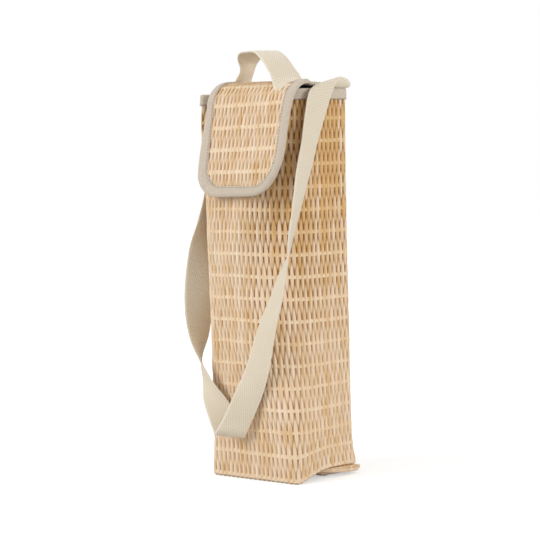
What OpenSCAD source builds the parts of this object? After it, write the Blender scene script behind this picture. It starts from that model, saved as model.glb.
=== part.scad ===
// Insulated bag for one bottle: woven cloth over foam and lining, a flap with a
// webbing handle, and a long shoulder strap. Front is -Y, the floor is z = 0.

/* [Bag] */
// Width of the base, side to side
base_w = 115; // [104:1:126]
// Depth of the base, front to back
base_d = 85; // [80:1:92]
// Height of the bare wall, floor to rim
bag_h = 378; // [350:1:400]
// Reach of the rounding at each back seam
seam_reach = 9; // [8.5:0.5:12]

/* [Cloth] */
// Thickness of the woven outer cloth
weave_t = 1.4; // [1:0.1:2]
// Thickness of the foam in the wall and base
foam_t = 2.2; // [1.6:0.1:2.8]
// Thickness of the lining
lining_t = 0.4; // [0.3:0.05:0.6]
// Thickness of the binding tape
tape_t = 0.7; // [0.5:0.05:1]
// Width of the binding tape on each face
tape_w = 10; // [8:0.5:12]

/* [Base] */
// Height that the folded corners lift the back edge
ear_t = 6; // [4:0.5:7]
// Width of each folded corner under the base
ear_w = 34; // [24:1:44]
// Length of each folded corner, measured from the back edge
ear_l = 38; // [30:1:39]

/* [Flap] */
// Width of the flap over the front
flap_w = 116; // [108:1:118]
// Gap between the flap's back and the nearer strap end
flap_side_gap = 1; // [0.8:0.1:4]
// Sideways place of the flap's middle
flap_x = 2; // [0:0.5:3]
// Length of the flap's top, from its hinge to the shoulder
flap_top_l = 56; // [54:0.5:58]
// Angle at which the top climbs towards the front
climb = 6; // [5:0.5:8]
// Bend radius of the shoulder, measured under the flap
shoulder_r = 20; // [18:0.5:22]
// Lean of the flap's upper front from upright
upper_lean = 15; // [13:0.5:17]
// Length of the upper front
upper_l = 62; // [56:1:68]
// Lean of the flap's lower front from upright
lower_lean = 8; // [6:0.5:10]
// Length of the lower front
lower_l = 36; // [34:1:44]
// Radius of the flap's lower corners
flap_corner_r = 34; // [26:1:34]
// Thickness of the foam in the flap
flap_foam_t = 1.2; // [0.8:0.1:1.6]
// Thickness of each closure patch
patch_t = 1.2; // [0.8:0.1:1.4]

/* [Webbing] */
// Width of the handle and the strap
web_w = 30; // [26:0.5:32]
// Thickness of the handle and the strap
web_t = 1.6; // [1.2:0.1:2]
// Distance between the handle's upright legs
handle_span = 80; // [70:1:84]
// Rise of the handle above the flap
handle_rise = 31; // [29:0.5:36]
// Depth that each sewn strap end reaches down inside the rim
strap_end_l = 30; // [22:1:40]
// Rise of the strap's ends over the rim
strap_rise = 7; // [5:0.5:10]

/* [Hidden] */

// Gap between bodies that move past each other
run_gap = 0.4;
// Gap between sewn plies of one body
ply_gap = 0.05;
// Gap between the flap's plies and the tape round its edge
tape_gap = 0.15;
wall_t = weave_t + foam_t + lining_t;
flap_t = lining_t + flap_foam_t + weave_t;
half_w = base_w / 2;
half_d = base_d / 2;
half_web = web_w / 2;

// Steps in each rounded corner of the wall, an even number
corner_steps = 8;
corner_points = corner_steps + 1;
// Steps in each bend of the flap and in its lower corners
bend_steps = 6;

// Each row is one height of the wall: height as a share of bag_h, then the back
// corner, the right front corner with its reach and the left front corner with its
// reach, across as shares of half_w, front to back and reaches as shares of half_d.
level_shares = [
    [0.00, 1.000, 1.000, 1.000, -1.000, 0.22, -1.000, -1.000, 0.22],
    [0.07, 0.940, 1.000, 1.035, -1.080, 0.50, -1.000, -1.035, 0.23],
    [0.19, 0.940, 0.990, 1.010, -1.170, 0.85, -1.000, -1.060, 0.25],
    [0.32, 0.965, 0.980, 0.900, -1.270, 1.20, -0.990, -1.080, 0.30],
    [0.52, 1.000, 0.965, 0.780, -1.320, 1.55, -0.990, -1.080, 0.33],
    [0.68, 1.020, 0.965, 0.800, -1.250, 1.40, -1.000, -1.060, 0.33],
    [0.78, 1.030, 0.975, 0.880, -1.170, 1.05, -1.010, -1.010, 0.30],
    [0.89, 1.045, 0.990, 0.960, -0.930, 0.65, -1.030, -0.880, 0.25],
    [1.00, 1.060, 1.010, 1.000, -0.650, 0.40, -1.040, -0.650, 0.23]];

// The strap's route between its round ends: place as shares of half_w, half_d and
// bag_h, then the direction of its width, in degrees from +X. It hangs down the
// right side, twists across the front, folds back and climbs the left side.
strap_shares = [
    [1.155, 0.020, 0.909, 94], [1.160, -0.290, 0.872, 99], [1.165, -0.670, 0.769, 108],
    [1.225, -1.060, 0.688, 119], [1.215, -1.320, 0.618, 128], [1.200, -1.370, 0.585, 134],
    [1.020, -1.340, 0.535, 148], [0.800, -1.300, 0.482, 160], [0.560, -1.310, 0.415, 170],
    [0.440, -1.300, 0.361, 177], [0.320, -1.330, 0.281, 186], [0.110, -1.400, 0.209, 205],
    [-0.170, -1.460, 0.135, 213], [-0.250, -1.500, 0.108, 217], [-0.310, -1.455, 0.099, 216],
    [-0.400, -1.390, 0.108, 212], [-0.540, -1.330, 0.150, 205], [-0.690, -1.300, 0.190, 196],
    [-0.930, -1.260, 0.245, 165], [-1.165, -1.150, 0.300, 138], [-1.235, -1.040, 0.372, 95],
    [-1.260, -0.940, 0.478, 62], [-1.260, -0.780, 0.585, 70], [-1.235, -0.650, 0.678, 108],
    [-1.230, -0.540, 0.750, 122], [-1.200, -0.440, 0.800, 110], [-1.160, -0.120, 0.872, 97],
    [-1.155, 0.080, 0.909, 93]];

// Round end of a web: distances past its centre, as shares of half its width
round_shares = [0.99, 0.92, 0.75, 0.45, 0];

function reversed(list) = [for (i = [len(list) - 1 : -1 : 0]) list[i]];
function unit(v) = v / norm(v);
function mix(a, b, share) = a + (b - a) * share;
function ribbon(first, second) = concat(first, reversed(second));

// Closed solid through a row of loops. Each loop is a first chain of points and a
// second chain that comes back, so its ends close with strips between the two.
module skin(loops, closed = false) {
    n = len(loops[0]);
    m = len(loops);
    last = (m - 1) * n;
    sides = [for (j = [0 : closed ? m - 1 : m - 2], k = [0 : n - 1])
        let (a = j * n + k, b = j * n + (k + 1) % n,
             c = ((j + 1) % m) * n + (k + 1) % n, d = ((j + 1) % m) * n + k)
        each k < n / 2 ? [[a, c, b], [a, d, c]] : [[a, d, b], [b, d, c]]];
    caps = closed ? [] : [for (k = [0 : n / 2 - 2])
        let (p = k + 1, q = n - 2 - k, r = n - 1 - k)
        each [[k, p, q], [k, q, r],
              [last + k, last + q, last + p], [last + k, last + r, last + q]]];
    polyhedron([for (loop = loops) each loop], concat(sides, caps));
}

// The wall
function level_at(share) = [for (c = [1 : 8]) lookup(share, [for (row = level_shares) [row[0], row[c]]])];

function corner(before, at, after, reach) =
    let (p = at + unit(before - at) * reach, q = at + unit(after - at) * reach)
    [for (k = [0 : corner_steps]) let (t = k / corner_steps) mix(mix(p, at, t), mix(at, q, t), t)];

// Outline at one height, anticlockwise from the right back corner
function section(share) =
    let (row = level_at(share),
         back_right = [row[0] * half_w, row[1] * half_d],
         back_left = [-row[0] * half_w, row[1] * half_d],
         front_right = [row[2] * half_w, row[3] * half_d],
         front_left = [row[5] * half_w, row[6] * half_d])
    concat(corner(front_right, back_right, back_left, seam_reach),
           corner(back_right, back_left, front_left, seam_reach),
           corner(back_left, front_left, front_right, row[7] * half_d),
           corner(front_left, front_right, back_right, row[4] * half_d));

function inset(points, depth) =
    let (n = len(points))
    [for (i = [0 : n - 1])
        let (t = unit(points[(i + 1) % n] - points[(i + n - 1) % n]))
        points[i] - depth * [t[1], -t[0]]];

// Lift of the base over the folded corners
function lift(y) = ear_t * max(0, y - (half_d - ear_l)) / ear_l;

function ring(share, depth) =
    [for (p = inset(section(share), depth))
        [p[0], p[1], share > 0 ? share * bag_h : weave_t + lift(p[1])]];

function wall_loops(outer, inner, shares) =
    let (outside = [for (share = shares) ring(share, outer)],
         inside = [for (share = shares) ring(share, inner)])
    [for (i = [0 : 4 * corner_points - 1])
        ribbon([for (points = inside) points[i]], [for (points = outside) points[i]])];

// Heights of the loop patch's edges, as shares of bag_h
loop_low_share = 0.77;
loop_high_share = 0.835;
rim_low_share = 1 - tape_w / bag_h;
// Heights at which the wall's plies have points, as shares of bag_h
all_shares = concat([for (row = level_shares) if (row[0] < loop_low_share) row[0]],
                    [loop_low_share, level_shares[6][0], loop_high_share, level_shares[7][0], rim_low_share, 1]);
right_seam = corner_steps / 2;
left_seam = corner_points + corner_steps / 2;

module front_side_panel() {
    loops = wall_loops(0, weave_t, all_shares);
    color("burlywood") skin([for (i = [left_seam : 4 * corner_points + right_seam]) loops[i % len(loops)]]);
}

module back_panel() {
    loops = wall_loops(0, weave_t, all_shares);
    color("tan") skin([for (i = [right_seam : left_seam]) loops[i]]);
}

module wall_foam() {
    color("whitesmoke") skin(wall_loops(weave_t, weave_t + foam_t, all_shares), closed = true);
}

module wall_lining() {
    color("dimgray") skin(wall_loops(weave_t + foam_t, wall_t, all_shares), closed = true);
}

// Tape folded over the rim, outside, across and down inside
module rim_binding() {
    low = rim_low_share;
    bare = [[-tape_gap, low, 0], [-tape_gap, 1, tape_gap], [wall_t + tape_gap, 1, tape_gap], [wall_t + tape_gap, low, 0]];
    wrap = [[-tape_t, low, 0], [-tape_t, 1, tape_t], [wall_t + tape_t, 1, tape_t], [wall_t + tape_t, low, 0]];
    inside = [for (row = bare) [for (p = ring(row[1], row[0])) p + [0, 0, row[2]]]];
    outside = [for (row = wrap) [for (p = ring(row[1], row[0])) p + [0, 0, row[2]]]];
    color("#b3a38e") skin([for (i = [0 : 4 * corner_points - 1])
        ribbon([for (points = inside) points[i]], [for (points = outside) points[i]])], closed = true);
}

// The base
base_corner = seam_reach;

module base_sheet(depth, low, high) {
    w = half_w - depth;
    d = half_d - depth;
    rows = [[-d, w - base_corner], [base_corner - d, w], [half_d - ear_l, w],
            [d - base_corner, w], [d, w - base_corner]];
    skin([for (row = reversed(rows)) ribbon(
        [for (side = [-1, 1]) [side * row[1], row[0], low + lift(row[0])]],
        [for (side = [-1, 1]) [side * row[1], row[0], high + lift(row[0])]])]);
}

module base_panel() {
    color("burlywood") base_sheet(0, 0, weave_t);
}

module base_foam() {
    color("whitesmoke") base_sheet(wall_t + run_gap, weave_t + ply_gap, weave_t + foam_t);
}

module base_lining() {
    color("dimgray") base_sheet(wall_t + run_gap, weave_t + foam_t, wall_t);
}

// Thin end of each folded corner, as a share of its length
ear_start_share = 0.12;
// Narrow end of each folded corner, as a share of its width
ear_point_share = 0.35;

module base_fold(side) {
    rows = [[1, 1], [0.6, 0.9], [ear_start_share, ear_point_share]];
    skin([for (row = rows)
        let (y = half_d - ear_l + ear_l * row[0], far = half_w, near = half_w - ear_w * row[1],
             ends = side > 0 ? [near, far] : [-far, -near])
        ribbon([for (x = ends) [x, y, 0]], [for (x = ends) [x, y, lift(y) - ply_gap]])]);
}

module base_fold_left() {
    color("tan") base_fold(-1);
}

module base_fold_right() {
    color("tan") base_fold(1);
}

// Where the strap's ends go over the rim
// Place of the strap's ends on the rim, as a share of half_d
strap_y_share = 0.42;
strap_y = strap_y_share * half_d;
strap_pivot_z = bag_h - tape_w;

// Outsides of the two side walls at one height and place from front to back
function sides_x(share, y) =
    let (row = level_at(share))
    [for (front = [[row[2], row[3]], [-row[5], row[6]]])
        half_w * mix(front[0], row[0], (y / half_d - front[1]) / (row[1] - front[1]))];

end_out_x = max([for (y = [-1, 1]) max(sides_x(1, strap_y + y * half_web))]) + tape_t + 2 * ply_gap + web_t / 2;
end_in_x = min(sides_x(1 - strap_end_l / bag_h, strap_y - half_web)) - wall_t - tape_t - 2 * ply_gap - web_t / 2;

// The flap: its underside runs through straights and bends, starting over the back
// rim and ending at the flap's lower edge
rim_back = level_shares[8][2] * half_d;
flap_back_w = 2 * (end_in_x - web_t / 2 - tape_t - flap_side_gap - flap_x);
upper_turn = climb + 90 - upper_lean;
lower_turn = upper_lean - lower_lean;
shoulder_l = shoulder_r * upper_turn * PI / 180;
// Length of the gentle bend between the upper and the lower front, as a share of the lower
ease_share = 0.5;
ease_l = ease_share * lower_l;
upper_end = flap_top_l + shoulder_l + upper_l;
flap_l = upper_end + lower_l;
// Place of the fold on the shoulder, as a share of the bend
fold_share = 0.5;
fold_s = flap_top_l + fold_share * shoulder_l;
flap_start = [rim_back, bag_h + 2 * tape_t + run_gap];

// Stretch of the top over which the flap widens, as shares of its length
widen_shares = [0.74, 0.98];

function heading(s) =
    s < flap_top_l ? climb
    : climb - upper_turn * min(1, (s - flap_top_l) / shoulder_l)
      - lower_turn * max(0, min(1, (s - upper_end) / ease_l));

flap_marks = concat(
    [0], [for (share = widen_shares) share * flap_top_l], [for (k = [0 : bend_steps]) flap_top_l + shoulder_l * k / bend_steps],
    [upper_end - upper_l / 2, upper_end, upper_end + ease_l / 2, upper_end + ease_l, flap_l + tape_w]);

function along(angle) = [-cos(angle), sin(angle)];

// Underside of the flap: arc length, y, z and heading at each mark
flap_path = [for (i = 0, p = flap_start; i < len(flap_marks);
    p = i + 1 < len(flap_marks)
        ? p + (flap_marks[i + 1] - flap_marks[i]) * along((heading(flap_marks[i]) + heading(flap_marks[i + 1])) / 2)
        : p,
    i = i + 1) [flap_marks[i], p[0], p[1], heading(flap_marks[i])]];

function flap_value(s, column) = lookup(s, [for (row = flap_path) [row[0], row[column]]]);

// Point at arc length s, sideways place x from the flap's middle and height over its underside
function on_flap(s, x, height) =
    let (angle = flap_value(s, 3))
    [flap_x + x, flap_value(s, 1) + height * sin(angle), flap_value(s, 2) + height * cos(angle)];

function flap_side(s) =
    let (share = max(0, min(1, (s / flap_top_l - widen_shares[0]) / (widen_shares[1] - widen_shares[0]))))
    mix(flap_back_w, flap_w, share) / 2;

function flap_half(s) =
    let (past = max(0, s - flap_l + flap_corner_r))
    flap_side(s) - flap_corner_r + sqrt(max(0, pow(flap_corner_r, 2) - pow(past, 2)));

function flap_rows(from, to) = concat(
    [from],
    [for (s = flap_marks) if (s > from && s < min(to, flap_l - flap_corner_r)) s],
    to < flap_l ? [to] : [for (k = [0 : bend_steps]) flap_l - flap_corner_r * (1 - sin(90 * k / bend_steps))]);

module flap_layer(from, to, low, high) {
    skin([for (s = flap_rows(from, to)) ribbon(
        [for (side = [-1, 1]) on_flap(s, side * flap_half(s), low)],
        [for (side = [-1, 1]) on_flap(s, side * flap_half(s), high)])]);
}

// Tape folded over the flap's edge. A station is arc length, place across and the
// direction out of the flap: across, then along.
function edge_loop(station) = ribbon(
    [for (p = [[-tape_w, flap_t + tape_t], [tape_t, flap_t + tape_t], [tape_t, -tape_t], [-tape_w, -tape_t]])
        edge_point(station, p)],
    [for (p = [[-tape_w, flap_t + tape_gap], [tape_gap, flap_t + tape_gap], [tape_gap, -tape_gap], [-tape_w, -tape_gap]])
        edge_point(station, p)]);

function edge_point(station, p) =
    on_flap(station[0] + p[0] * station[3], station[1] + p[0] * station[2], p[1]);

function side_stations(from, to, side) =
    [for (s = flap_rows(from, min(to, flap_l - flap_corner_r))) [s, side * flap_side(s), side, 0]];

function corner_stations(side) =
    [for (k = [1 : bend_steps]) let (a = 90 * k / bend_steps)
        [flap_l - flap_corner_r * (1 - sin(a)), side * (flap_w / 2 - flap_corner_r * (1 - cos(a))),
         side * cos(a), sin(a)]];

module flap_top_panel() {
    color("burlywood") flap_layer(0, fold_s, flap_t - weave_t, flap_t);
}

module flap_top_foam() {
    color("whitesmoke") flap_layer(0, fold_s, lining_t, flap_t - weave_t);
}

module flap_top_lining() {
    color("dimgray") flap_layer(0, fold_s, 0, lining_t);
}

module flap_top_binding() {
    color("#b3a38e") {
        skin([for (station = side_stations(0, fold_s, -1)) edge_loop(station)]);
        skin([for (station = reversed(side_stations(0, fold_s, 1))) edge_loop(station)]);
    }
}

module flap_front_panel() {
    color("burlywood") flap_layer(fold_s + run_gap, flap_l, flap_t - weave_t, flap_t);
}

module flap_front_foam() {
    color("whitesmoke") flap_layer(fold_s + run_gap, flap_l, lining_t, flap_t - weave_t);
}

module flap_front_lining() {
    color("dimgray") flap_layer(fold_s + run_gap, flap_l, 0, lining_t);
}

module flap_front_binding() {
    color("#b3a38e") skin([for (station = concat(
        side_stations(fold_s + run_gap, flap_l, -1), corner_stations(-1),
        reversed(corner_stations(1)), reversed(side_stations(fold_s + run_gap, flap_l, 1))))
        edge_loop(station)]);
}

// The hook-and-loop closure
hook_l = 24;
hook_w = 56;
// Start of the hook patch before the upper front's end, as a share of that front
hook_start_share = 0.2;
hook_from = upper_end - upper_l * hook_start_share;

module closure_hook_patch() {
    color("gray") skin([for (s = [hook_from, upper_end, hook_from + hook_l]) ribbon(
        [for (side = [-1, 1]) on_flap(s, side * hook_w / 2, -patch_t - ply_gap)],
        [for (side = [-1, 1]) on_flap(s, side * hook_w / 2, -ply_gap)])]);
}

// Start of the loop patch between the front's two corners, as a share of the way
loop_start_share = 0.35;
// Points of the right front corner that the loop patch covers
loop_from = 3 * corner_points;
loop_to = loop_from + corner_steps / 2;

module closure_loop_patch() {
    loops = wall_loops(-patch_t - ply_gap, -ply_gap, [loop_low_share, level_shares[6][0], loop_high_share]);
    color("gray") skin(concat([mix(loops[loop_from - 1], loops[loop_from], loop_start_share)],
                              [for (i = [loop_from : loop_to]) loops[i]]));
}

// Webbing
function web_loop(at, tangent, across, half) =
    let (w = unit(across) * half, n = unit(cross(tangent, across)) * web_t / 2)
    ribbon([at - w - n, at + w - n], [at - w + n, at + w + n]);

// Strip of webbing. A stop is its place, the direction of its width and half its width.
module web(stops) {
    n = len(stops);
    skin([for (i = [0 : n - 1]) web_loop(
        stops[i][0], stops[min(i + 1, n - 1)][0] - stops[max(i - 1, 0)][0], stops[i][1], stops[i][2])]);
}

function round_half(share) = half_web * sqrt(1 - pow(share, 2));

// The carry handle
// Place of the handle's middle on the flap's top, as a share of its length
handle_place_share = 0.88;
handle_s = flap_top_l * handle_place_share;
handle_y = flap_value(handle_s, 1);
crest_z = max([for (share = [-1, 0, 1]) on_flap(handle_s + share * half_web, 0, flap_t)[2]]);
handle_pivot_z = crest_z + half_web + run_gap;
leg_x = (handle_span - web_t) / 2 - run_gap;
// The arch from one leg to its top: across as shares of leg_x, up as shares of the
// rise over the legs' pivot
arch_shares = [[0.985, 0.3], [0.93, 0.6], [0.8, 0.84], [0.6, 0.96], [0.3, 1], [0, 1]];
arch_h = handle_rise - (handle_pivot_z - crest_z) - web_t / 2;
// Height of each sewn end's upright part, as a share of the pivot's height
upright_share = 0.75;

module handle_end(side) {
    top = mix(crest_z, handle_pivot_z, upright_share);
    near = side * handle_span / 2;
    far = side * (flap_back_w / 2 - tape_t);
    base_z = flap_t + tape_t + ply_gap;
    skin([for (s = flap_rows(handle_s - half_web, handle_s + half_web))
        let (y = on_flap(s, near, base_z)[1],
             under = [on_flap(s, far, base_z), on_flap(s, near, base_z), [flap_x + near, y, top]],
             over = [on_flap(s, far, base_z + web_t), on_flap(s, near + side * web_t, base_z + web_t),
                     [flap_x + near + side * web_t, y, top]])
        side < 0 ? ribbon(under, over) : ribbon(over, under)]);
}

module handle_end_left() {
    color("cornsilk") handle_end(-1);
}

module handle_end_right() {
    color("cornsilk") handle_end(1);
}

function handle_leg(side) = [for (share = round_shares)
    [[flap_x + side * leg_x, handle_y, handle_pivot_z - share * half_web], [0, 1, 0], round_half(share)]];

function handle_arch(side) = [for (p = arch_shares)
    [[flap_x + side * p[0] * leg_x, handle_y, handle_pivot_z + p[1] * arch_h], [0, 1, 0], half_web]];

module carry_handle() {
    color("cornsilk") web(concat(
        handle_leg(-1), handle_arch(-1),
        reversed([for (i = [0 : len(arch_shares) - 2]) handle_arch(1)[i]]), reversed(handle_leg(1))));
}

// The shoulder strap
end_top_z = bag_h + tape_t + strap_rise;
// Lower edge of each sewn end's outside, as a share of the pivot's depth under the rim
end_out_share = 0.9;
strap_leg_x = end_out_x + web_t + run_gap;

module strap_end(side) {
    mid_x = (end_out_x + end_in_x) / 2;
    // Corners of the fold over the rim, as shares of the rise and of half the width
    bend_shares = [[1, 0.3], [0.8, 0.75], [0.35, 1]];
    half_x = (end_out_x - end_in_x) / 2;
    inner = concat([[end_in_x, bag_h - strap_end_l], [end_in_x, bag_h]],
        [for (p = bend_shares) [mid_x - p[0] * half_x, mix(bag_h + tape_t, end_top_z, p[1])]]);
    outer = concat([for (p = reversed(bend_shares)) [mid_x + p[0] * half_x, mix(bag_h + tape_t, end_top_z, p[1])]],
        [[end_out_x, bag_h], [end_out_x, bag_h - end_out_share * tape_w]]);
    web([for (p = concat(inner, outer)) [[side * p[0], strap_y, p[1]], [0, 1, 0], half_web]]);
}

module strap_end_left() {
    color("cornsilk") strap_end(-1);
}

module strap_end_right() {
    color("cornsilk") strap_end(1);
}

function strap_round(side) = [for (share = reversed(round_shares))
    [[side * strap_leg_x, strap_y, strap_pivot_z + share * half_web], [0, 1, 0], round_half(share)]];

module shoulder_strap() {
    route = [for (row = strap_shares)
        [[row[0] * half_w, row[1] * half_d, row[2] * bag_h], [cos(row[3]), sin(row[3]), 0], half_web]];
    color("cornsilk") web(concat(reversed(strap_round(1)), route, strap_round(-1)));
}

front_side_panel();
back_panel();
base_panel();
base_fold_left();
base_fold_right();
wall_foam();
base_foam();
wall_lining();
base_lining();
rim_binding();
strap_end_left();
strap_end_right();
closure_loop_patch();
flap_top_panel();
flap_top_foam();
flap_top_lining();
flap_top_binding();
handle_end_left();
handle_end_right();
flap_front_panel();
flap_front_foam();
flap_front_lining();
flap_front_binding();
closure_hook_patch();
carry_handle();
shoulder_strap();
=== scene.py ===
import math

import bpy
import numpy as np
from mathutils import Matrix, Vector


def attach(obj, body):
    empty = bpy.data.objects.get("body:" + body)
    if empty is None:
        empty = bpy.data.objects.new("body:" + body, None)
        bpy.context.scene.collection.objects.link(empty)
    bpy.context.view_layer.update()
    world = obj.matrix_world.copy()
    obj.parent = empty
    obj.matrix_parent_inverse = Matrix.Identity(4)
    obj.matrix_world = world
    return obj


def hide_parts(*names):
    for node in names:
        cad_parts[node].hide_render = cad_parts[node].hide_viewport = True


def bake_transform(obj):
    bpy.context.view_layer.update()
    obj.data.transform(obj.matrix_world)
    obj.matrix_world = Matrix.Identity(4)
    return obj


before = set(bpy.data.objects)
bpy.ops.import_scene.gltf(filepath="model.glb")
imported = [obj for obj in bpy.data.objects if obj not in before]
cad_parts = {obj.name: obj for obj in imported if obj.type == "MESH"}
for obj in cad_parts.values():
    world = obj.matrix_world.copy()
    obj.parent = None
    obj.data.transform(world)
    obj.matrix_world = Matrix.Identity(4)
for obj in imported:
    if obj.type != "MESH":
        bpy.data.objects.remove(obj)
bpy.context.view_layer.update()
print("frame loaded")

mm = 0.001


def tint(code):
    # sRGB hex to linear colour
    values = [int(code[i:i + 2], 16) / 255 for i in (0, 2, 4)]
    return tuple([v / 12.92 if v <= 0.04045 else ((v + 0.055) / 1.055) ** 2.4 for v in values] + [1.0])


class Field:
    # one value in a node tree, so that sums read as sums
    def __init__(self, maker, socket):
        self.maker = maker
        self.socket = socket

    def __add__(self, other): return self.maker.calc("ADD", self, other)
    def __radd__(self, other): return self.maker.calc("ADD", other, self)
    def __sub__(self, other): return self.maker.calc("SUBTRACT", self, other)
    def __rsub__(self, other): return self.maker.calc("SUBTRACT", other, self)
    def __mul__(self, other): return self.maker.calc("MULTIPLY", self, other)
    def __rmul__(self, other): return self.maker.calc("MULTIPLY", other, self)
    def __truediv__(self, other): return self.maker.calc("DIVIDE", self, other)

    def ramp(self, low, high, start=0.0, end=1.0, kind="LINEAR"):
        inputs = {"Value": self, "From Min": low, "From Max": high, "To Min": start, "To Max": end}
        node = self.maker.add("ShaderNodeMapRange", inputs, interpolation_type=kind, clamp=True)
        return Field(self.maker, node.outputs["Result"])

    def smooth(self, low, high, start=0.0, end=1.0):
        return self.ramp(low, high, start, end, "SMOOTHSTEP")


class Maker:
    # adds and links nodes of one tree
    def __init__(self, tree):
        self.tree = tree

    def link(self, value, socket):
        if isinstance(value, Field):
            value = value.socket
        if isinstance(value, bpy.types.NodeSocket):
            self.tree.links.new(value, socket)
        else:
            socket.default_value = value

    def add(self, kind, inputs=None, **settings):
        node = self.tree.nodes.new(kind)
        for key, value in settings.items():
            setattr(node, key, value)
        for key, value in (inputs or {}).items():
            self.link(value, node.inputs[key])
        return node

    def out(self, kind, inputs=None, **settings):
        return self.add(kind, inputs, **settings).outputs[0]

    def calc(self, operation, *values):
        return Field(self, self.out("ShaderNodeMath", dict(enumerate(values)), operation=operation))

    def vector(self, x, y, z=0.0):
        return self.out("ShaderNodeCombineXYZ", {"X": x, "Y": y, "Z": z})

    def split(self, vector):
        node = self.add("ShaderNodeSeparateXYZ", {0: vector})
        return Field(self, node.outputs[0]), Field(self, node.outputs[1])

    def scaled(self, vector, amount):
        return self.out("ShaderNodeVectorMath", {0: vector, "Scale": amount}, operation="SCALE")

    def noise(self, vector, scale, detail=2.0, roughness=0.5):
        inputs = {"Vector": vector, "Scale": scale, "Detail": detail, "Roughness": roughness}
        return Field(self, self.out("ShaderNodeTexNoise", inputs))

    def blend(self, share, first, second):
        node = self.add("ShaderNodeMix", {0: share, 6: first, 7: second}, data_type="RGBA", blend_type="MIX")
        return node.outputs[2]

    def uv(self):
        return self.out("ShaderNodeUVMap", uv_map="UVMap")


geometrySocket, floatSocket, intSocket, vectorSocket, materialSocket = [
    "NodeSocket" + kind for kind in ("Geometry", "Float", "Int", "Vector", "Material")]


def newTree(name, kind, inputs, outputs):
    tree = bpy.data.node_groups.new(name, kind)
    for label, socketKind, value in inputs:
        socket = tree.interface.new_socket(label, in_out="INPUT", socket_type=socketKind)
        if value is not None:
            socket.default_value = value
    for label, socketKind in outputs:
        tree.interface.new_socket(label, in_out="OUTPUT", socket_type=socketKind)
    source = tree.nodes.new("NodeGroupInput")
    sink = tree.nodes.new("NodeGroupOutput")
    return Maker(tree), {o.name: o for o in source.outputs}, {i.name: i for i in sink.inputs}


def linked(name, data):
    thing = bpy.data.objects.new(name, data)
    bpy.context.scene.collection.objects.link(thing)
    return thing


# camera, from the photo: right of the front, a long lens, a little below the rim
cameraFit = {"azimuth": 44.1, "distance": 1.820, "height": 0.3075, "focal": 1845.0, "frame": 540.0,
             "pitch": 3.277, "roll": 2.286, "axisPixel": 7.8, "sensor": 36.0, "farEnd": 20}


def makeCamera(fit):
    a = math.radians(fit["azimuth"])
    place = Vector((math.sin(a), -math.cos(a), 0)) * fit["distance"] + Vector((0, 0, fit["height"]))
    data = bpy.data.cameras.new("camera")
    data.sensor_width = fit["sensor"]
    data.lens = fit["focal"] / fit["frame"] * fit["sensor"]
    data.clip_end = fit["farEnd"]
    camera = linked("camera", data)
    yaw = a + math.atan(fit["axisPixel"] / fit["focal"])
    turn = Matrix.Rotation(yaw, 4, "Z") @ Matrix.Rotation(math.radians(90 - fit["pitch"]), 4, "X")
    camera.matrix_world = Matrix.Translation(place) @ turn @ Matrix.Rotation(math.radians(-fit["roll"]), 4, "Z")
    bpy.context.scene.camera = camera


makeCamera(cameraFit)


# materials
def newMaterial(name):
    material = bpy.data.materials.new(name)
    material.use_nodes = True
    return material, Maker(material.node_tree)


def finished(material, maker, colour, height, relief, roughness, sheen=0.0, specular=0.5):
    # relief: strength and depth of the small bumps
    shader = maker.tree.nodes["Principled BSDF"]
    bump = maker.out("ShaderNodeBump", {"Strength": relief[0], "Distance": relief[1], "Height": height})
    for label, value in (("Base Color", colour), ("Normal", bump), ("Roughness", roughness),
                         ("Sheen Weight", sheen), ("Specular IOR Level", specular)):
        maker.link(value, shader.inputs[label])
    return material


def fibreGroup():
    # lengthwise fibres and slow blotches of a split reed, from its own strip coordinates
    maker, source, sink = newTree("reedFibres", "ShaderNodeTree", [("Strip", vectorSocket, None)],
                                  [("Fibre", floatSocket), ("Blotch", floatSocket)])
    x, y = maker.split(source["Strip"])
    maker.link(maker.noise(maker.vector(x * 7.0, y * 0.55), 1.0, 3.0, 0.6).smooth(0.3, 0.72), sink["Fibre"])
    maker.link(maker.noise(maker.vector(x * 0.83, y * 0.34), 1.0, 2.0, 0.5).smooth(0.3, 0.7), sink["Blotch"])
    return maker.tree


fibres = fibreGroup()


def reedMaterial(name, pale, mid, gold, shadeColour, roughness=0.52):
    material, maker = newMaterial(name)
    group = maker.add("ShaderNodeGroup", node_tree=fibres)
    maker.link(maker.uv(), group.inputs["Strip"])
    fibre, blotch = [Field(maker, group.outputs[label]) for label in ("Fibre", "Blotch")]
    # the second attribute and the last colour are painted shade, darkest where a reed dives under a weft
    tone, paintedShade = [Field(maker, maker.add("ShaderNodeAttribute", attribute_name=label).outputs["Fac"])
                  for label in ("tone", "paintedShade")]
    share = tone * 0.62 + blotch * 0.48
    colour = maker.blend(share.smooth(0.12, 0.55), tint(pale), tint(mid))
    for part, layer in ((share.smooth(0.5, 1.0), gold), (fibre * 0.30, gold), (paintedShade, shadeColour)):
        colour = maker.blend(part, colour, tint(layer))
    rough = fibre.ramp(0, 1, roughness, roughness + 0.16)
    return finished(material, maker, colour, fibre, (0.35, 0.12 * mm), rough, specular=0.35)


def clothGroup():
    # fine plain weave: two crossed waves with some unevenness
    maker, source, sink = newTree("threadWeave", "ShaderNodeTree", [
        ("Place", vectorSocket, None), ("Threads", floatSocket, 1000.0)],
        [("Height", floatSocket), ("Uneven", floatSocket)])
    turn = Field(maker, source["Threads"]) * math.tau
    x, y = maker.split(source["Place"])
    wave = maker.calc("SINE", x * turn) * maker.calc("SINE", y * turn)
    maker.link(wave * 0.5 + 0.5, sink["Height"])
    maker.link(maker.noise(source["Place"], 260.0, 3.0, 0.6), sink["Uneven"])
    return maker.tree


threads = clothGroup()


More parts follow.
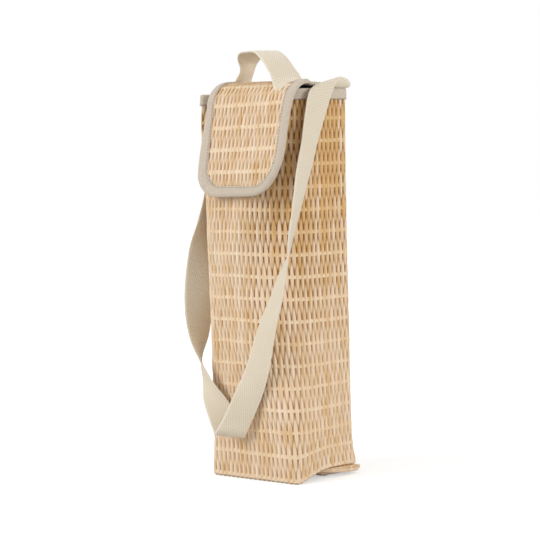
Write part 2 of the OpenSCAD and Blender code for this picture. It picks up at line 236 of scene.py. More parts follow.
def tapeMaterial(name, light, dark, perMetre, depth, roughness=0.85, sheen=0.25):
    # perMetre: how many threads lie side by side in a metre
    material, maker = newMaterial(name)
    group = maker.add("ShaderNodeGroup", {1: perMetre}, node_tree=threads)
    maker.link(maker.uv(), group.inputs[0])
    height, uneven = [Field(maker, group.outputs[label]) for label in ("Height", "Uneven")]
    # partly painted shade: darker in the dips of the weave; the uneven part is the tape's own tone
    colour = maker.blend(height * 0.4 + uneven.smooth(0.1, 0.9) * 0.6, tint(dark), tint(light))
    rough = uneven.ramp(0, 1, roughness - 0.08, roughness + 0.08)
    return finished(material, maker, colour, height * 0.7 + uneven * 0.25, (0.6, depth), rough, sheen, 0.2)


# webbing: its section, half of the section's outline, and its ribs and beads
webFit = {"width": 30 * mm, "thick": 1.7 * mm, "footThick": 1.9 * mm, "endThick": 1.6 * mm,
          "across": [-1, -0.96, -0.88, -0.7, -0.45, -0.15, 0.15, 0.45, 0.7, 0.88, 0.96, 1],
          "rise": [0.0, 0.32, 0.46, 0.5, 0.5, 0.5, 0.5, 0.5, 0.5, 0.46, 0.32, 0.0],
          "rib": 1.7 * mm, "slant": 0.30, "bead": 1.9 * mm, "stagger": 2.1}


def webbingMaterial(name, light, dark, edge):
    # cotton webbing: slanted ribs of small beads between two smooth selvedges
    material, maker = newMaterial(name)
    x, y = maker.split(maker.uv())
    rows = y - x * webFit["slant"]
    ribs = maker.calc("SINE", rows * (math.tau / webFit["rib"]))
    shift = maker.calc("FLOOR", rows * (1 / webFit["rib"])) * webFit["stagger"]
    beads = maker.calc("SINE", x * (math.tau / webFit["bead"]) + shift)
    fuzz = maker.noise(maker.vector(x, y), 620.0, 3.0, 0.65)
    slow = maker.noise(maker.vector(x, y), 34.0, 2.0, 0.5)
    selvedge = maker.calc("ABSOLUTE", x * (2 / webFit["width"]) - 1.0).smooth(0.86, 0.90)
    height = ribs * (1.0 - selvedge * 0.8) * 0.38 + beads * (1.0 - selvedge) * 0.22 + fuzz * 0.55 + selvedge * 0.25
    # partly painted light: darker in the hollows between ribs and beads, lighter on the raised selvedges; the fuzz in
    # it and the slow blotches are the webbing's own tone
    base = maker.blend(height.ramp(-0.45, 0.95), tint(dark), tint(light))
    colour = maker.blend(slow.smooth(0.35, 0.75) * 0.30, base, tint(edge))
    return finished(material, maker, colour, height, (0.8, 0.25 * mm), fuzz.ramp(0, 1, 0.78, 0.95), 0.3, 0.2)


def insideMaterial(name, light, dark, kind, scale=0.0):
    # what has no weave of its own: foam, lining, and the two halves of the closure
    material, maker = newMaterial(name)
    place = maker.add("ShaderNodeTexCoord").outputs["Object"]
    if kind == "lining":
        crease, fine = maker.noise(place, 55.0, 4.0, 0.6), maker.noise(place, 1500.0, 2.0, 0.5)
        # painted shade: darker in the hollows of the creases
        colour = maker.blend(crease.smooth(0.3, 0.7), tint(dark), tint(light))
        return finished(material, maker, colour, crease + fine * 0.08, (0.6, 0.8 * mm), fine.ramp(0, 1, 0.38, 0.52))
    cells = maker.add("ShaderNodeTexVoronoi", {"Vector": place, "Scale": scale})
    cell = Field(maker, cells.outputs["Distance"])
    if kind == "foam":
        # painted shade: darker in the foam's pits
        colour = maker.blend(cell.ramp(0, 0.6), tint(dark), tint(light))
        return finished(material, maker, colour, cell, (0.5, 0.2 * mm), cell.ramp(0, 1, 0.75, 0.9))
    fuzz = maker.noise(place, 2400.0, 3.0, 0.7)
    # painted shade: darker between the hooks and loops
    colour = maker.blend(cell.ramp(0.1, 0.7), tint(light), tint(dark))
    return finished(material, maker, colour, fuzz - cell * 0.8, (0.9, 0.6 * mm), fuzz.ramp(0, 1, 0.8, 0.95))


# colours, and what differs from the defaults above
looks = {
    # the fourth colour of each reed is its painted shade
    "splitReed": {"pale": "f5e2cd", "mid": "edd5b7", "gold": "d8ae74", "shadeColour": "8f5f2c"},
    "weftReed": {"pale": "f5e3cd", "mid": "eed7b8", "gold": "dab582", "shadeColour": "a67846", "roughness": 0.55},
    # the dark brown behind the weave is painted shade in the gaps
    "weaveShadeBacking": {"light": "b98a55", "dark": "7c5128", "perMetre": 900.0, "depth": 0.1 * mm, "roughness": 0.8,
                     "sheen": 0.0},
    "bindingTape": {"light": "d9ccbb", "dark": "bcad9a", "perMetre": 800.0, "depth": 0.16 * mm},
    "cottonWebbing": {"light": "f3eadb", "dark": "c9b896", "edge": "dfcfb2"},
    "sewingThread": {"light": "b7a894", "dark": "8d7f6d"},
    "paleThread": {"light": "efe6d4", "dark": "cdbf9f"},
    "darkLining": {"light": "2f2a27", "dark": "171413", "kind": "lining"},
    "insulationFoam": {"light": "efeeea", "dark": "d3d1ca", "kind": "foam", "scale": 900.0},
    "hookTape": {"light": "bfae95", "dark": "7f705b", "kind": "closure", "scale": 1100.0},
    "loopTape": {"light": "cdbda2", "dark": "94836b", "kind": "closure", "scale": 700.0}}


def looked(make, name, **settings):
    return make(name, **looks[name], **settings)


sewing = {"perMetre": 2500.0, "depth": 0.05 * mm, "roughness": 0.7, "sheen": 0.1}
reed = looked(reedMaterial, "splitReed")
reedWeft = looked(reedMaterial, "weftReed")
reedBack = looked(tapeMaterial, "weaveShadeBacking")
tape = looked(tapeMaterial, "bindingTape")
webbing = looked(webbingMaterial, "cottonWebbing")
thread = looked(tapeMaterial, "sewingThread", **sewing)
threadPale = looked(tapeMaterial, "paleThread", **sewing)
lining = looked(insideMaterial, "darkLining")
foam = looked(insideMaterial, "insulationFoam")
hookTape = looked(insideMaterial, "hookTape")
loopTape = looked(insideMaterial, "loopTape")
print("materials made")


# woven cloth: reeds and weft bands laid on a guide surface by Geometry Nodes
weaveInputs = [
    ("Geometry", geometrySocket, None), ("Reed", materialSocket, None), ("Band", materialSocket, None),
    ("Back", materialSocket, None), ("Strips", intSocket, 40), ("Steps", intSocket, 100), ("Bands", intSocket, 18),
    ("Band Steps", intSocket, 100), ("Seed", intSocket, 1)] + [(label, floatSocket, start) for label, start in [
        ("Rows", 17.0), ("First Row", 0.0), ("Length", 0.38),
        ("Wide", 0.71), ("Narrow", 0.29), ("Wander", 0.10),      # shares of the reeds' pitch
        ("Crown", 0.35 * mm), ("Sink", 1.0 * mm), ("Arch", 0.3 * mm), ("Edge", 1.1 * mm),     # the reeds' heights
        ("Band Width", 0.22), ("Band Lip", 0.3 * mm), ("Backing", 1.1 * mm), ("Backing Depth", 1.4 * mm),
        # the last four set painted shade: its strength in the reeds' hollows, more of it on the upper right side, and
        # golden darkening higher up and on the right side
        ("Shade", 0.76), ("Side Shade", 0.0), ("Upper Golden Shade", 0.0), ("Side Golden Shade", 0.0)]]


def weaveTree():
    maker, source, sink = newTree("reedWeave", "GeometryNodeTree", weaveInputs, [("Geometry", geometrySocket)])
    maker.tree.is_modifier = True
    guide = source["Geometry"]
    value = {name: Field(maker, source[name]) for name, kind, start in weaveInputs if kind in (floatSocket, intSocket)}

    def named(name, kind="FLOAT"):
        return maker.out("GeometryNodeInputNamedAttribute", {"Name": name}, data_type=kind)

    def store(geometry, name, content, domain="POINT", kind="FLOAT"):
        return maker.out("GeometryNodeStoreNamedAttribute", {"Geometry": geometry, "Name": name, "Value": content},
                         data_type=kind, domain=domain)

    def sampled(content, kind, uv):
        inputs = dict(enumerate((guide, content, named("UVMap", "FLOAT_VECTOR"), uv)))
        return maker.out("GeometryNodeSampleUVSurface", inputs, data_type=kind)

    def cutTo(geometry, selection):
        return maker.out("GeometryNodeDeleteGeometry", {"Geometry": geometry, "Selection": selection}, domain="POINT")

    def grids(across, along, count):
        # a row of flat grids, each vertex knowing its place across, along and which grid it is on
        sizes = {"Size X": 2.0, "Size Y": 1.0, "Vertices X": across, "Vertices Y": along}
        grid = maker.out("GeometryNodeMeshGrid", sizes)
        x, y = maker.split(maker.out("GeometryNodeInputPosition"))
        flat = store(store(grid, "across", x), "along", y + 0.5)
        line = maker.out("GeometryNodeMeshLine", {"Count": count})
        laid = maker.out("GeometryNodeInstanceOnPoints", {"Points": line, "Instance": flat})
        laid = store(laid, "strip", maker.out("GeometryNodeInputIndex"), "INSTANCE")
        return maker.out("GeometryNodeRealizeInstances", {"Geometry": laid})

    def kept(share):
        return maker.calc("MINIMUM", maker.calc("MAXIMUM", share, 0.0004), 0.9996)

    def laidOn(geometry, u, v, height):
        uv = maker.vector(kept(u), kept(v))
        place = sampled(maker.out("GeometryNodeInputPosition"), "FLOAT_VECTOR", uv)
        outward = sampled(named("outward", "FLOAT_VECTOR"), "FLOAT_VECTOR", uv)
        moved = maker.out("ShaderNodeVectorMath", {0: place, 1: maker.scaled(outward, height)}, operation="ADD")
        geometry = store(geometry, "inside", sampled(named("inside"), "FLOAT", uv))
        geometry = maker.out("GeometryNodeSetPosition", {"Geometry": geometry, "Position": moved})
        return cutTo(geometry, outside)

    def surfaced(geometry, material):
        smooth = maker.out("GeometryNodeSetShadeSmooth", {"Geometry": geometry})
        return maker.out("GeometryNodeSetMaterial", {"Geometry": smooth, "Material": material})

    def randomFor(identity, low, high, extra):
        inputs = {2: low, 3: high, "ID": identity, "Seed": value["Seed"] + extra}
        return Field(maker, maker.add("FunctionNodeRandomValue", inputs, data_type="FLOAT").outputs[1])

    def softNoise(*place):
        return maker.noise(maker.vector(*place), 1.0, 1.0)

    strip, along = [Field(maker, named(label)) for label in ("strip", "along")]
    across = maker.calc("SINE", Field(maker, named("across")) * (math.pi / 2))
    outside = maker.calc("LESS_THAN", Field(maker, named("inside")), 0.0)
    stripPlace = maker.vector(strip * 3.0 + across, along * value["Length"] / (10 * mm))

    # reeds: away is 0 where a reed is over a weft and 1 where it is under
    row = along * value["Rows"] + value["First Row"]
    away = maker.calc("PINGPONG", row + strip, 1.0)
    local = softNoise(strip * 3.7, row * 0.7, value["Seed"] * 1.7)
    width = away.smooth(0.10, 0.94) * (value["Narrow"] - value["Wide"]) + value["Wide"]
    width = width * randomFor(strip, 0.93, 1.09, 3) * 1.13 * local.ramp(0.2, 0.8, 0.93, 1.07)
    height = (1.0 - away.smooth(0.1, 0.85)) * value["Crown"] - away.smooth(0.48, 0.86) * value["Sink"]
    curve = across * across
    height = height - curve * value["Arch"] - curve * curve * curve * value["Edge"]
    height = height + (local - 0.5) * (0.5 * mm)
    wander = (softNoise(strip * 1.9, row * 0.31, value["Seed"] * 2.3) - 0.5) * value["Wander"]
    u = (strip + 0.5 + wander + across * width) / value["Strips"]
    # painted shade: golden and darker higher up and on the right side, over a tone that differs at random from reed to
    # reed
    round = strip / value["Strips"]
    tone = randomFor(strip, 0.12, 0.95, 11) * 0.58 + softNoise(strip * 0.7, row * 0.23).ramp(0.25, 0.75) * 0.4
    sideGoldenShade = round.smooth(0.56, 0.70) * along.smooth(0.35, 0.85) * value["Side Golden Shade"] * randomFor(strip, 0.1, 1.8, 17)
    tone = tone + along.smooth(0.55, 0.95) * value["Upper Golden Shade"] + sideGoldenShade
    # painted shade: the reeds darken along their edges and where they dive under a weft, scaled by Shade, with more on
    # the upper right side by Side Shade
    edgeShade = maker.calc("ABSOLUTE", across).smooth(0.55, 1.0) * (away.smooth(0.0, 0.5) * 0.12 + 0.08)
    paintedShade = maker.calc("MINIMUM", away.smooth(0.46, 0.80) * 0.92 + edgeShade, 1.0)
    upperSideShadeMask = round.smooth(0.54, 0.68) * along.smooth(0.25, 0.8)
    reeds = store(grids(5, source["Steps"], source["Strips"]), "tone", tone)
    reeds = store(reeds, "paintedShade", paintedShade * (upperSideShadeMask * value["Side Shade"] + value["Shade"]))
    reeds = store(laidOn(reeds, u, along, height), "UVMap", stripPlace, "CORNER", "FLOAT2")

    # weft bands, each with a raised lower lip
    bandRow = maker.calc("CEIL", value["First Row"]) + strip
    sag = (softNoise(along * 9.0, strip * 5.1, value["Seed"] * 1.0) - 0.5) * 0.05
    v = (bandRow - value["First Row"] + across * value["Band Width"] * 0.5 + sag) / value["Rows"]
    lip = (1.0 - across) * 0.5 * value["Band Lip"]
    lip = lip - across.smooth(-0.86, -1.0) * (1.1 * mm) - across.smooth(0.8, 1.0) * (0.9 * mm)
    tone = randomFor(strip, 0.1, 0.7, 5) + softNoise(along * 30.0, strip) * 0.3
    # painted shade: the wefts also turn golden higher up and on the right side
    tone = tone + v.smooth(0.55, 0.95) * value["Upper Golden Shade"]
    tone = tone + along.smooth(0.56, 0.70) * v.smooth(0.35, 0.85) * value["Side Golden Shade"]
    bands = store(grids(7, source["Band Steps"], source["Bands"]), "tone", tone)
    # painted shade over each weft band's upper, recessed part
    bands = store(bands, "paintedShade", across.smooth(-0.4, 1.0) * 0.14)
    bands = store(laidOn(bands, along, v, lip - 0.15 * mm), "UVMap", stripPlace, "CORNER", "FLOAT2")
    bands = maker.out("GeometryNodeFlipFaces", {"Mesh": bands})

    # the ply behind them, a closed slab, dark brown: a sheet of painted shade seen in the gaps between the reeds
    outward = named("outward", "FLOAT_VECTOR")
    front = maker.out("GeometryNodeSetPosition", {
        "Geometry": cutTo(guide, outside), "Offset": maker.scaled(outward, 0.0 - value["Backing Depth"])})
    thick = maker.out("GeometryNodeExtrudeMesh", {
        "Mesh": front, "Offset": outward, "Offset Scale": value["Backing Depth"] - value["Backing"],
        "Individual": False}, mode="FACES")
    slab = maker.add("GeometryNodeJoinGeometry")
    for part in (thick, maker.out("GeometryNodeFlipFaces", {"Mesh": front})):
        maker.link(part, slab.inputs[0])
    slab = maker.out("GeometryNodeMergeByDistance", {"Geometry": slab.outputs[0], "Distance": 0.01 * mm})
    metres = maker.scaled(named("UVMap", "FLOAT_VECTOR"), value["Length"])
    slab = store(slab, "UVMap", metres, "CORNER", "FLOAT2")

    joined = maker.add("GeometryNodeJoinGeometry")
    for part, label in ((reeds, "Reed"), (bands, "Band"), (slab, "Back")):
        maker.link(surfaced(part, source[label]), joined.inputs[0])
    maker.link(joined.outputs[0], sink["Geometry"])
    return maker.tree


weave = weaveTree()

stitchInputs = [("Geometry", geometrySocket, None), ("Thread", materialSocket, None), ("Pitch", floatSocket, 3.2 * mm),
                ("Length", floatSocket, 2.3 * mm), ("Radius", floatSocket, 0.28 * mm)]


def stitchTree():
    # a run of short threads along the edges of the incoming mesh
    maker, source, sink = newTree("stitchRun", "GeometryNodeTree", stitchInputs, [("Geometry", geometrySocket)])
    maker.tree.is_modifier = True
    curve = maker.out("GeometryNodeMeshToCurve", {"Mesh": source["Geometry"]})
    even = maker.out("GeometryNodeResampleCurve", {"Curve": curve, "Length": source["Pitch"]}, mode="LENGTH")
    ball = maker.out("GeometryNodeMeshUVSphere", {"Segments": 6, "Rings": 4, "Radius": 1.0})
    radius = Field(maker, source["Radius"])
    size = maker.vector(Field(maker, source["Length"]) * 0.5, radius, radius)
    turn = maker.out("FunctionNodeAlignRotationToVector", {"Vector": maker.out("GeometryNodeInputTangent")}, axis="X")
    laid = maker.out("GeometryNodeInstanceOnPoints", {
        "Points": even, "Instance": ball, "Rotation": turn, "Scale": size})
    real = maker.out("GeometryNodeRealizeInstances", {"Geometry": laid})
    smooth = maker.out("GeometryNodeSetShadeSmooth", {"Geometry": real})
    sewn = maker.out("GeometryNodeSetMaterial", {"Geometry": smooth, "Material": source["Thread"]})
    maker.link(sewn, sink["Geometry"])
    return maker.tree


stitching = stitchTree()


def runTree(guide, tree, settings, name):
    # the tree's result on a guide, as a plain mesh object; the guide goes
    modifier = guide.modifiers.new(tree.name, "NODES")
    modifier.node_group = tree
    for item in tree.interface.items_tree:
        if item.in_out == "INPUT" and item.name in settings:
            modifier[item.identifier] = settings[item.name]
    bpy.context.view_layer.update()
    mesh = bpy.data.meshes.new_from_object(guide.evaluated_get(bpy.context.evaluated_depsgraph_get()))
    for extra in ("across", "along", "strip", "inside", "outward"):
        if extra in mesh.attributes:
            mesh.attributes.remove(mesh.attributes[extra])
    bpy.data.objects.remove(guide)
    mesh.name = name
    return linked(name, mesh)


# meshes from rows of points
def newObject(name, points, faces, uv=None, material=None):
    mesh = bpy.data.meshes.new(name)
    mesh.from_pydata([tuple(p) for p in points], [], [tuple(f) for f in faces])
    if uv is not None:
        layer = mesh.uv_layers.new(name="UVMap")
        index = np.zeros(len(mesh.loops), np.int32)
        mesh.loops.foreach_get("vertex_index", index)
        layer.data.foreach_set("uv", np.asarray(uv, np.float32)[index].ravel())
    mesh.polygons.foreach_set("use_smooth", [True] * len(mesh.polygons))
    if material is not None:
        mesh.materials.append(material)
    mesh.update()
    return linked(name, mesh)


def unitRows(v):
    return v / np.maximum(np.linalg.norm(v, axis=-1, keepdims=True), 1e-12)


def smoothStep(x, low, high):
    t = np.clip((x - low) / (high - low), 0, 1)
    return t * t * (3 - 2 * t)


def lengthsAlong(grid, axis):
    total = np.cumsum(np.linalg.norm(np.diff(grid, axis=axis), axis=-1), axis=axis)
    pad = [(0, 0)] * total.ndim
    pad[axis] = (1, 0)
    return np.pad(total, pad)


def valuesAt(places, d, rows):
    return np.column_stack([np.interp(places, d, rows[:, k]) for k in range(rows.shape[1])])


def gridNormals(grid, loop=False):
    # outward normals of rows (up) by columns (across) of points
    du = np.roll(grid, -1, axis=1) - np.roll(grid, 1, axis=1) if loop else np.gradient(grid, axis=1)
    return unitRows(np.cross(du, np.gradient(grid, axis=0)))


def gridFaces(rows, columns, start=0, loop=False, turned=False):
    faces = []
    for r in range(rows - 1):
        for c in range(columns if loop else columns - 1):
            low, high, d = start + r * columns, start + (r + 1) * columns, (c + 1) % columns
            face = [low + c, low + d, high + d, high + c]
            faces.append(face[::-1] if turned else face)
    return faces


def guideObject(name, grid, inside=None, sag=0.0):
    # guide for the weave: UVs from 0 to 1, the outward direction and what lies inside the cut
    # sag: how far the rows hang lower on the right side, as a share of the height
    rows, columns = grid.shape[:2]
    up = lengthsAlong(grid, 0).mean(axis=1)
    u, v = np.meshgrid(np.linspace(0, 1, columns), up / up[-1])
    v = v + sag * smoothStep(u, 0.45, 0.8) * np.sin(math.pi * v)
    piece = newObject(name, grid.reshape(-1, 3), gridFaces(rows, columns), np.stack([u, v], -1).reshape(-1, 2))
    outward = piece.data.attributes.new("outward", "FLOAT_VECTOR", "POINT")
    outward.data.foreach_set("vector", gridNormals(grid).astype(np.float32).ravel())
    mask = piece.data.attributes.new("inside", "FLOAT", "POINT")
    values = np.ones(rows * columns) if inside is None else inside.ravel()
    mask.data.foreach_set("value", values.astype(np.float32))
    return piece


def plySolid(name, grid, low, high, material, loop=False):
    # closed ply between two heights over a grid of points
    rows, columns = grid.shape[:2]
    n = gridNormals(grid, loop)
    points = np.concatenate([(grid + n * high).reshape(-1, 3), (grid + n * low).reshape(-1, 3)])
    count, last = rows * columns, (rows - 1) * columns
    faces = gridFaces(rows, columns, 0, loop) + gridFaces(rows, columns, count, loop, turned=True)
    for c in range(columns if loop else columns - 1):
        d = (c + 1) % columns
        faces += [[c, count + c, count + d, d], [last + c, last + d, count + last + d, count + last + c]]
    for a in [] if loop else range(0, last, columns):
        b, right = a + columns, columns - 1
        faces += [[a, b, count + b, count + a], [a + right, count + a + right, count + b + right, b + right]]
    uv = np.stack([lengthsAlong(grid, 1), lengthsAlong(grid, 0)], -1).reshape(-1, 2)
    return newObject(name, points, faces, np.concatenate([uv, uv]), material)


def sweptSolid(name, loops, material, closed=False, uv=None):
    # solid through loops of points (stations by points round), closed on itself or with capped ends
    stations, around = loops.shape[:2]
    faces = []
    for i in range(stations if closed else stations - 1):
        j = (i + 1) % stations
        for k in range(around):
            m = (k + 1) % around
            faces.append([i * around + k, i * around + m, j * around + m, j * around + k])
    if not closed:
        faces += [list(range(around))[::-1], [(stations - 1) * around + k for k in range(around)]]
    if uv is None:
        uv = np.stack([lengthsAlong(loops, 1), lengthsAlong(loops, 0)], -1)
    return newObject(name, loops.reshape(-1, 3), faces, uv.reshape(-1, 2), material)


def curveThrough(table, places):
    # smooth values at places through rows of (place, values...), by cubic pieces
    table = np.array(table, float)
    t, values = table[:, 0], table[:, 1:]
    slope = np.gradient(values, t, axis=0)
    places = np.clip(np.asarray(places, float), t[0], t[-1])
    i = np.clip(np.searchsorted(t, places, side="right") - 1, 0, len(t) - 2)
    span = (t[i + 1] - t[i])[:, None]
    x = ((places - t[i]) / (t[i + 1] - t[i]))[:, None]
    return ((1 + 2 * x) * (1 - x) ** 2 * values[i] + x * (1 - x) ** 2 * span * slope[i]
            + x * x * (3 - 2 * x) * values[i + 1] - x * x * (1 - x) * span * slope[i + 1])


def evenPath(points, step):
    # smooth path through rows of values whose first three are a place, resampled at an even step
    points = np.array(points, float)
    t = lengthsAlong(points[:, :3], 0)
    dense = curveThrough(np.column_stack([t, points]), np.linspace(0, t[-1], 60 * len(points)))
    d = lengthsAlong(dense[:, :3], 0)
    return valuesAt(np.linspace(0, d[-1], int(round(d[-1] / step)) + 1), d, dense)


def settled(piece, nodes, body=None, between=None):
    # a piece's finish and the nodes it stands for; it hangs from its body, or, when a bend between two bodies is given,
    # only keeps its place in the world
    if nodes:
        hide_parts(*nodes)
    if between:
        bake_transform(piece)
    else:
        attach(piece, body)
    return piece


def stitchRun(name, runs, body=None, material=thread, pitch=3.2 * mm, length=2.3 * mm, radius=0.28 * mm, between=None):
    # stitches along lines of points, in one piece
    points, edges = [], []
    for run in runs:
        start = len(points)
        points.extend(tuple(p) for p in run)
        edges.extend((start + i, start + i + 1) for i in range(len(run) - 1))
    mesh = bpy.data.meshes.new(name + "Guide")
    mesh.from_pydata(points, edges, [])
    settings = {"Pitch": pitch, "Length": length, "Radius": radius, "Thread": material}
    settled(runTree(linked(name + "Guide", mesh), stitching, settings, name), (), body, between)


def clothPiece(name, guide, settings, nodes, body=None, between=None):
    # woven cloth on a guide, as a finished piece
    piece = runTree(guide, weave, {"Reed": reed, "Band": reedWeft, "Back": reedBack, **settings}, name)
    return settled(piece, nodes, body, between)


# The wall: outline at each height, as in the solids, with the soft lean of the front.
# levels: height share | back corner | right front corner, reach | left front corner, reach | pinch of that corner in mm
wallFit = {
    "halfWidth": 57.5 * mm, "halfDepth": 42.5 * mm, "height": 378 * mm,
    "seamReach": 3 * mm, "edgeRadius": 2.6 * mm, "tuck": 6 * mm, "cornerSteps": 24,
    "levels": [
        [0.00, 1.000, 1.000, 1.010, -1.030, 0.12, -1.020, -1.035, 0.08, 0.0],
        [0.07, 0.940, 1.000, 1.035, -1.085, 0.40, -1.010, -1.045, 0.13, 0.0],
        [0.19, 0.940, 0.990, 1.010, -1.170, 0.85, -1.000, -1.060, 0.25, 0.0],
        [0.32, 0.965, 0.980, 0.900, -1.270, 1.20, -0.990, -1.080, 0.30, 0.0],
        [0.52, 1.000, 0.965, 0.780, -1.320, 1.55, -0.990, -1.080, 0.33, 0.0],
        [0.68, 1.020, 0.965, 0.800, -1.250, 1.40, -1.000, -1.060, 0.33, 0.0],
        [0.78, 1.030, 0.975, 0.880, -1.170, 1.05, -1.010, -1.010, 0.30, 3.5],
        [0.89, 1.045, 0.990, 0.960, -0.930, 0.65, -1.030, -0.880, 0.25, 8.5],
        [1.00, 1.060, 1.010, 1.000, -0.650, 0.40, -1.040, -0.650, 0.23, 15.0]],
    # rise of the base's side edges off the floor, front to back, in mm
    "lift": [[-44, 0.0], [-38, 0.2], [-33, 1.4], [-22, 4.8], [-9, 8.2], [3, 9.4], [14, 9.5], [25, 9.2], [38, 8.6],
             [46, 8.0]],
    "liftAcross": (12 * mm, 56 * mm), "liftFades": 55 * mm, "floorGap": 0.2 * mm,
    # the left front corner is drawn in towards the mouth: how wide, how far across, and from where on the side
    "pinchSpread": 4.2 * mm, "pinchAcross": 1.2 * mm, "pinchFrom": (-0.018, 0.020), "fullPinch": 15,
    "columns": (80, 200), "rowStep": 4.2 * mm, "slack": 0.45 * mm, "slackFades": 0.02, "strayShare": 0.97,
    "plyTopGap": 0.4 * mm}

plies = {"cloth": 1.4 * mm, "foam": 2.2 * mm, "lining": 0.4 * mm}
wallDepth = sum(plies.values())


def cornerCurve(before, at, after, reach):
    p = at + (before - at) / np.linalg.norm(before - at) * reach
    q = at + (after - at) / np.linalg.norm(after - at) * reach
    t = np.linspace(0, 1, wallFit["cornerSteps"] + 1)[:, None]
    return (1 - t) ** 2 * p + 2 * t * (1 - t) * at + t * t * q


def wallOutline(share):
    # outline at one height: the back from seam to seam, then the rest from the left seam round the front
    fit = wallFit
    row = curveThrough(fit["levels"], [share])[0]
    size = np.array([fit["halfWidth"], fit["halfDepth"]])
    backRight, backLeft, frontRight, frontLeft = [
        np.array(pair) * size for pair in (row[:2], (-row[0], row[1]), row[2:4], row[5:7])]
    br = cornerCurve(frontRight, backRight, backLeft, fit["seamReach"])
    bl = cornerCurve(backRight, backLeft, frontLeft, fit["seamReach"])
    fl = cornerCurve(backLeft, frontLeft, frontRight, row[7] * size[1])
    fr = cornerCurve(frontLeft, frontRight, backRight, row[4] * size[1])
    seam = fit["cornerSteps"] // 2
    back = np.concatenate([br[seam:], np.linspace(br[-1], bl[0], 30)[1:-1], bl[:seam + 1]])
    front = np.concatenate([bl[seam:], np.linspace(bl[-1], fl[0], 40)[1:-1], fl, np.linspace(fl[-1], fr[0], 60)[1:-1],
                            fr, np.linspace(fr[-1], br[0], 40)[1:-1], br[:seam + 1]])
    pinch = row[8]
    if pinch > 0:
        near = np.exp(-((front[:, 0] - frontLeft[0]) / fit["pinchSpread"]) ** 2)
        near = near * smoothStep(-front[:, 1], *fit["pinchFrom"]) * (front[:, 0] < 0)
        front -= near[:, None] * [fit["pinchAcross"] * pinch / fit["fullPinch"], pinch * mm]
    return back, front


def evenOutline(points, count):
    d = lengthsAlong(points, 0)
    return valuesAt(np.linspace(0, d[-1], count), d, points)


def outward2d(line):
    t = unitRows(np.gradient(line, axis=0))
    return np.column_stack([t[:, 1], -t[:, 0]])


def nearest(points, line):
    return np.array([np.min(np.hypot(*(line - p).T)) for p in points])


def baseLift(x, y):
    table = np.array(wallFit["lift"]) * mm
    return np.interp(y, table[:, 0], table[:, 1]) * smoothStep(np.abs(x), *wallFit["liftAcross"])


def untangled(points, outline, depth):
    # an inset line crosses itself at a tight corner: stray points are drawn between their neighbours
    stray = nearest(points, outline) < depth * wallFit["strayShare"]
    stray = np.convolve(stray, np.ones(5), "same") > 0      # with two neighbours on each side
    good = np.flatnonzero(~stray)
    return valuesAt(np.arange(len(points)), good, points[good])


def wallGrid(side, wrap=True, inset=0.0):
    # rows of points up the back (0) or the front with both sides (1); wrap starts them tucked under the bottom edge
    fit = wallFit
    height, radius, count = fit["height"], fit["edgeRadius"], fit["columns"][side]
    stations = []
    if wrap:
        stations.append((radius + fit["tuck"], 0.0))
        stations += [(radius * (1 - math.cos(b)), radius * (1 - math.sin(b))) for b in np.radians([90, 72, 54, 36, 18])]
    steps = int((height - radius) / fit["rowStep"])
    stations += [(0.0, z) for z in np.linspace(radius if wrap else plies["cloth"], height, steps)]
    u = np.linspace(0, 1, count)
    rows = []
    for pull, z in stations:
        flat = evenOutline(wallOutline(z / height)[side], count)
        out = outward2d(flat)
        moved = flat - (pull + inset) * out
        flat = untangled(moved, flat, inset) if inset else moved
        sway = np.sin(u * 19 + z * 31) * np.sin(z * 47 + 1.3 + 3 * u) + 0.6 * np.sin(u * 41 - z * 63 + 2)
        sway *= fit["slack"]
        fades = fit["slackFades"]
        sway *= np.clip(z / fades, 0, 1) * np.clip((height - z) / fades, 0, 1) * np.sin(np.pi * u) ** 0.5
        flat = flat + sway[:, None] * out
        lift = baseLift(flat[:, 0], flat[:, 1]) * (1 - smoothStep(z, 0.0, fit["liftFades"])) + fit["floorGap"]
        rows.append(np.column_stack([flat, z + lift]))
    return np.array(rows)


# spacing of wefts and reeds, and what differs between the back (0) and the front with both sides (1)
weaveFit = {
    "weftPitch": 21.5 * mm, "firstWeft": 3.6 * mm, "reedPitch": 2.75 * mm, "bandStep": 2.6 * mm, "bandWidth": 0.18,
    # painted shade: golden and darker higher up and on the right side, and deeper in the hollows on the upper right
    # side
    "stepsPerRow": 7, "upperGoldenShade": 0.34, "sideGoldenShade": (0.12, 0.50), "sideShade": (0.0, 0.8), "sag": (0.0, 0.009)}
weftPitch = weaveFit["weftPitch"]


def wallCloth(name, side, nodes, seed):
    fit = weaveFit
    grid = wallGrid(side)
    height = float(lengthsAlong(grid, 0)[-1].mean())
    width = float(lengthsAlong(grid, 1)[len(grid) // 2, -1])
    startOfWall = wallFit["tuck"] + wallFit["edgeRadius"] * (math.pi / 2 - 1)
    rows = height / weftPitch
    return clothPiece(name, guideObject(name + "Guide", grid, sag=fit["sag"][side]), {
        "Strips": 2 * int(round(width / fit["reedPitch"] / 2)), "Steps": int(rows * fit["stepsPerRow"]), "Rows": rows,
        "First Row": -(startOfWall + fit["firstWeft"]) / weftPitch, "Bands": 18,
        "Band Steps": int(width / fit["bandStep"]), "Band Width": fit["bandWidth"], "Length": height, "Seed": seed,
        "Upper Golden Shade": fit["upperGoldenShade"], "Side Golden Shade": fit["sideGoldenShade"][side], "Side Shade": fit["sideShade"][side]},
        nodes, "bag")


frontCloth = wallCloth("frontAndSidesCloth", 1, ["front_side_panel"], 3)
backCloth = wallCloth("backCloth", 0, ["back_panel"], 8)
print("wall cloth done", len(frontCloth.data.polygons), len(backCloth.data.polygons))


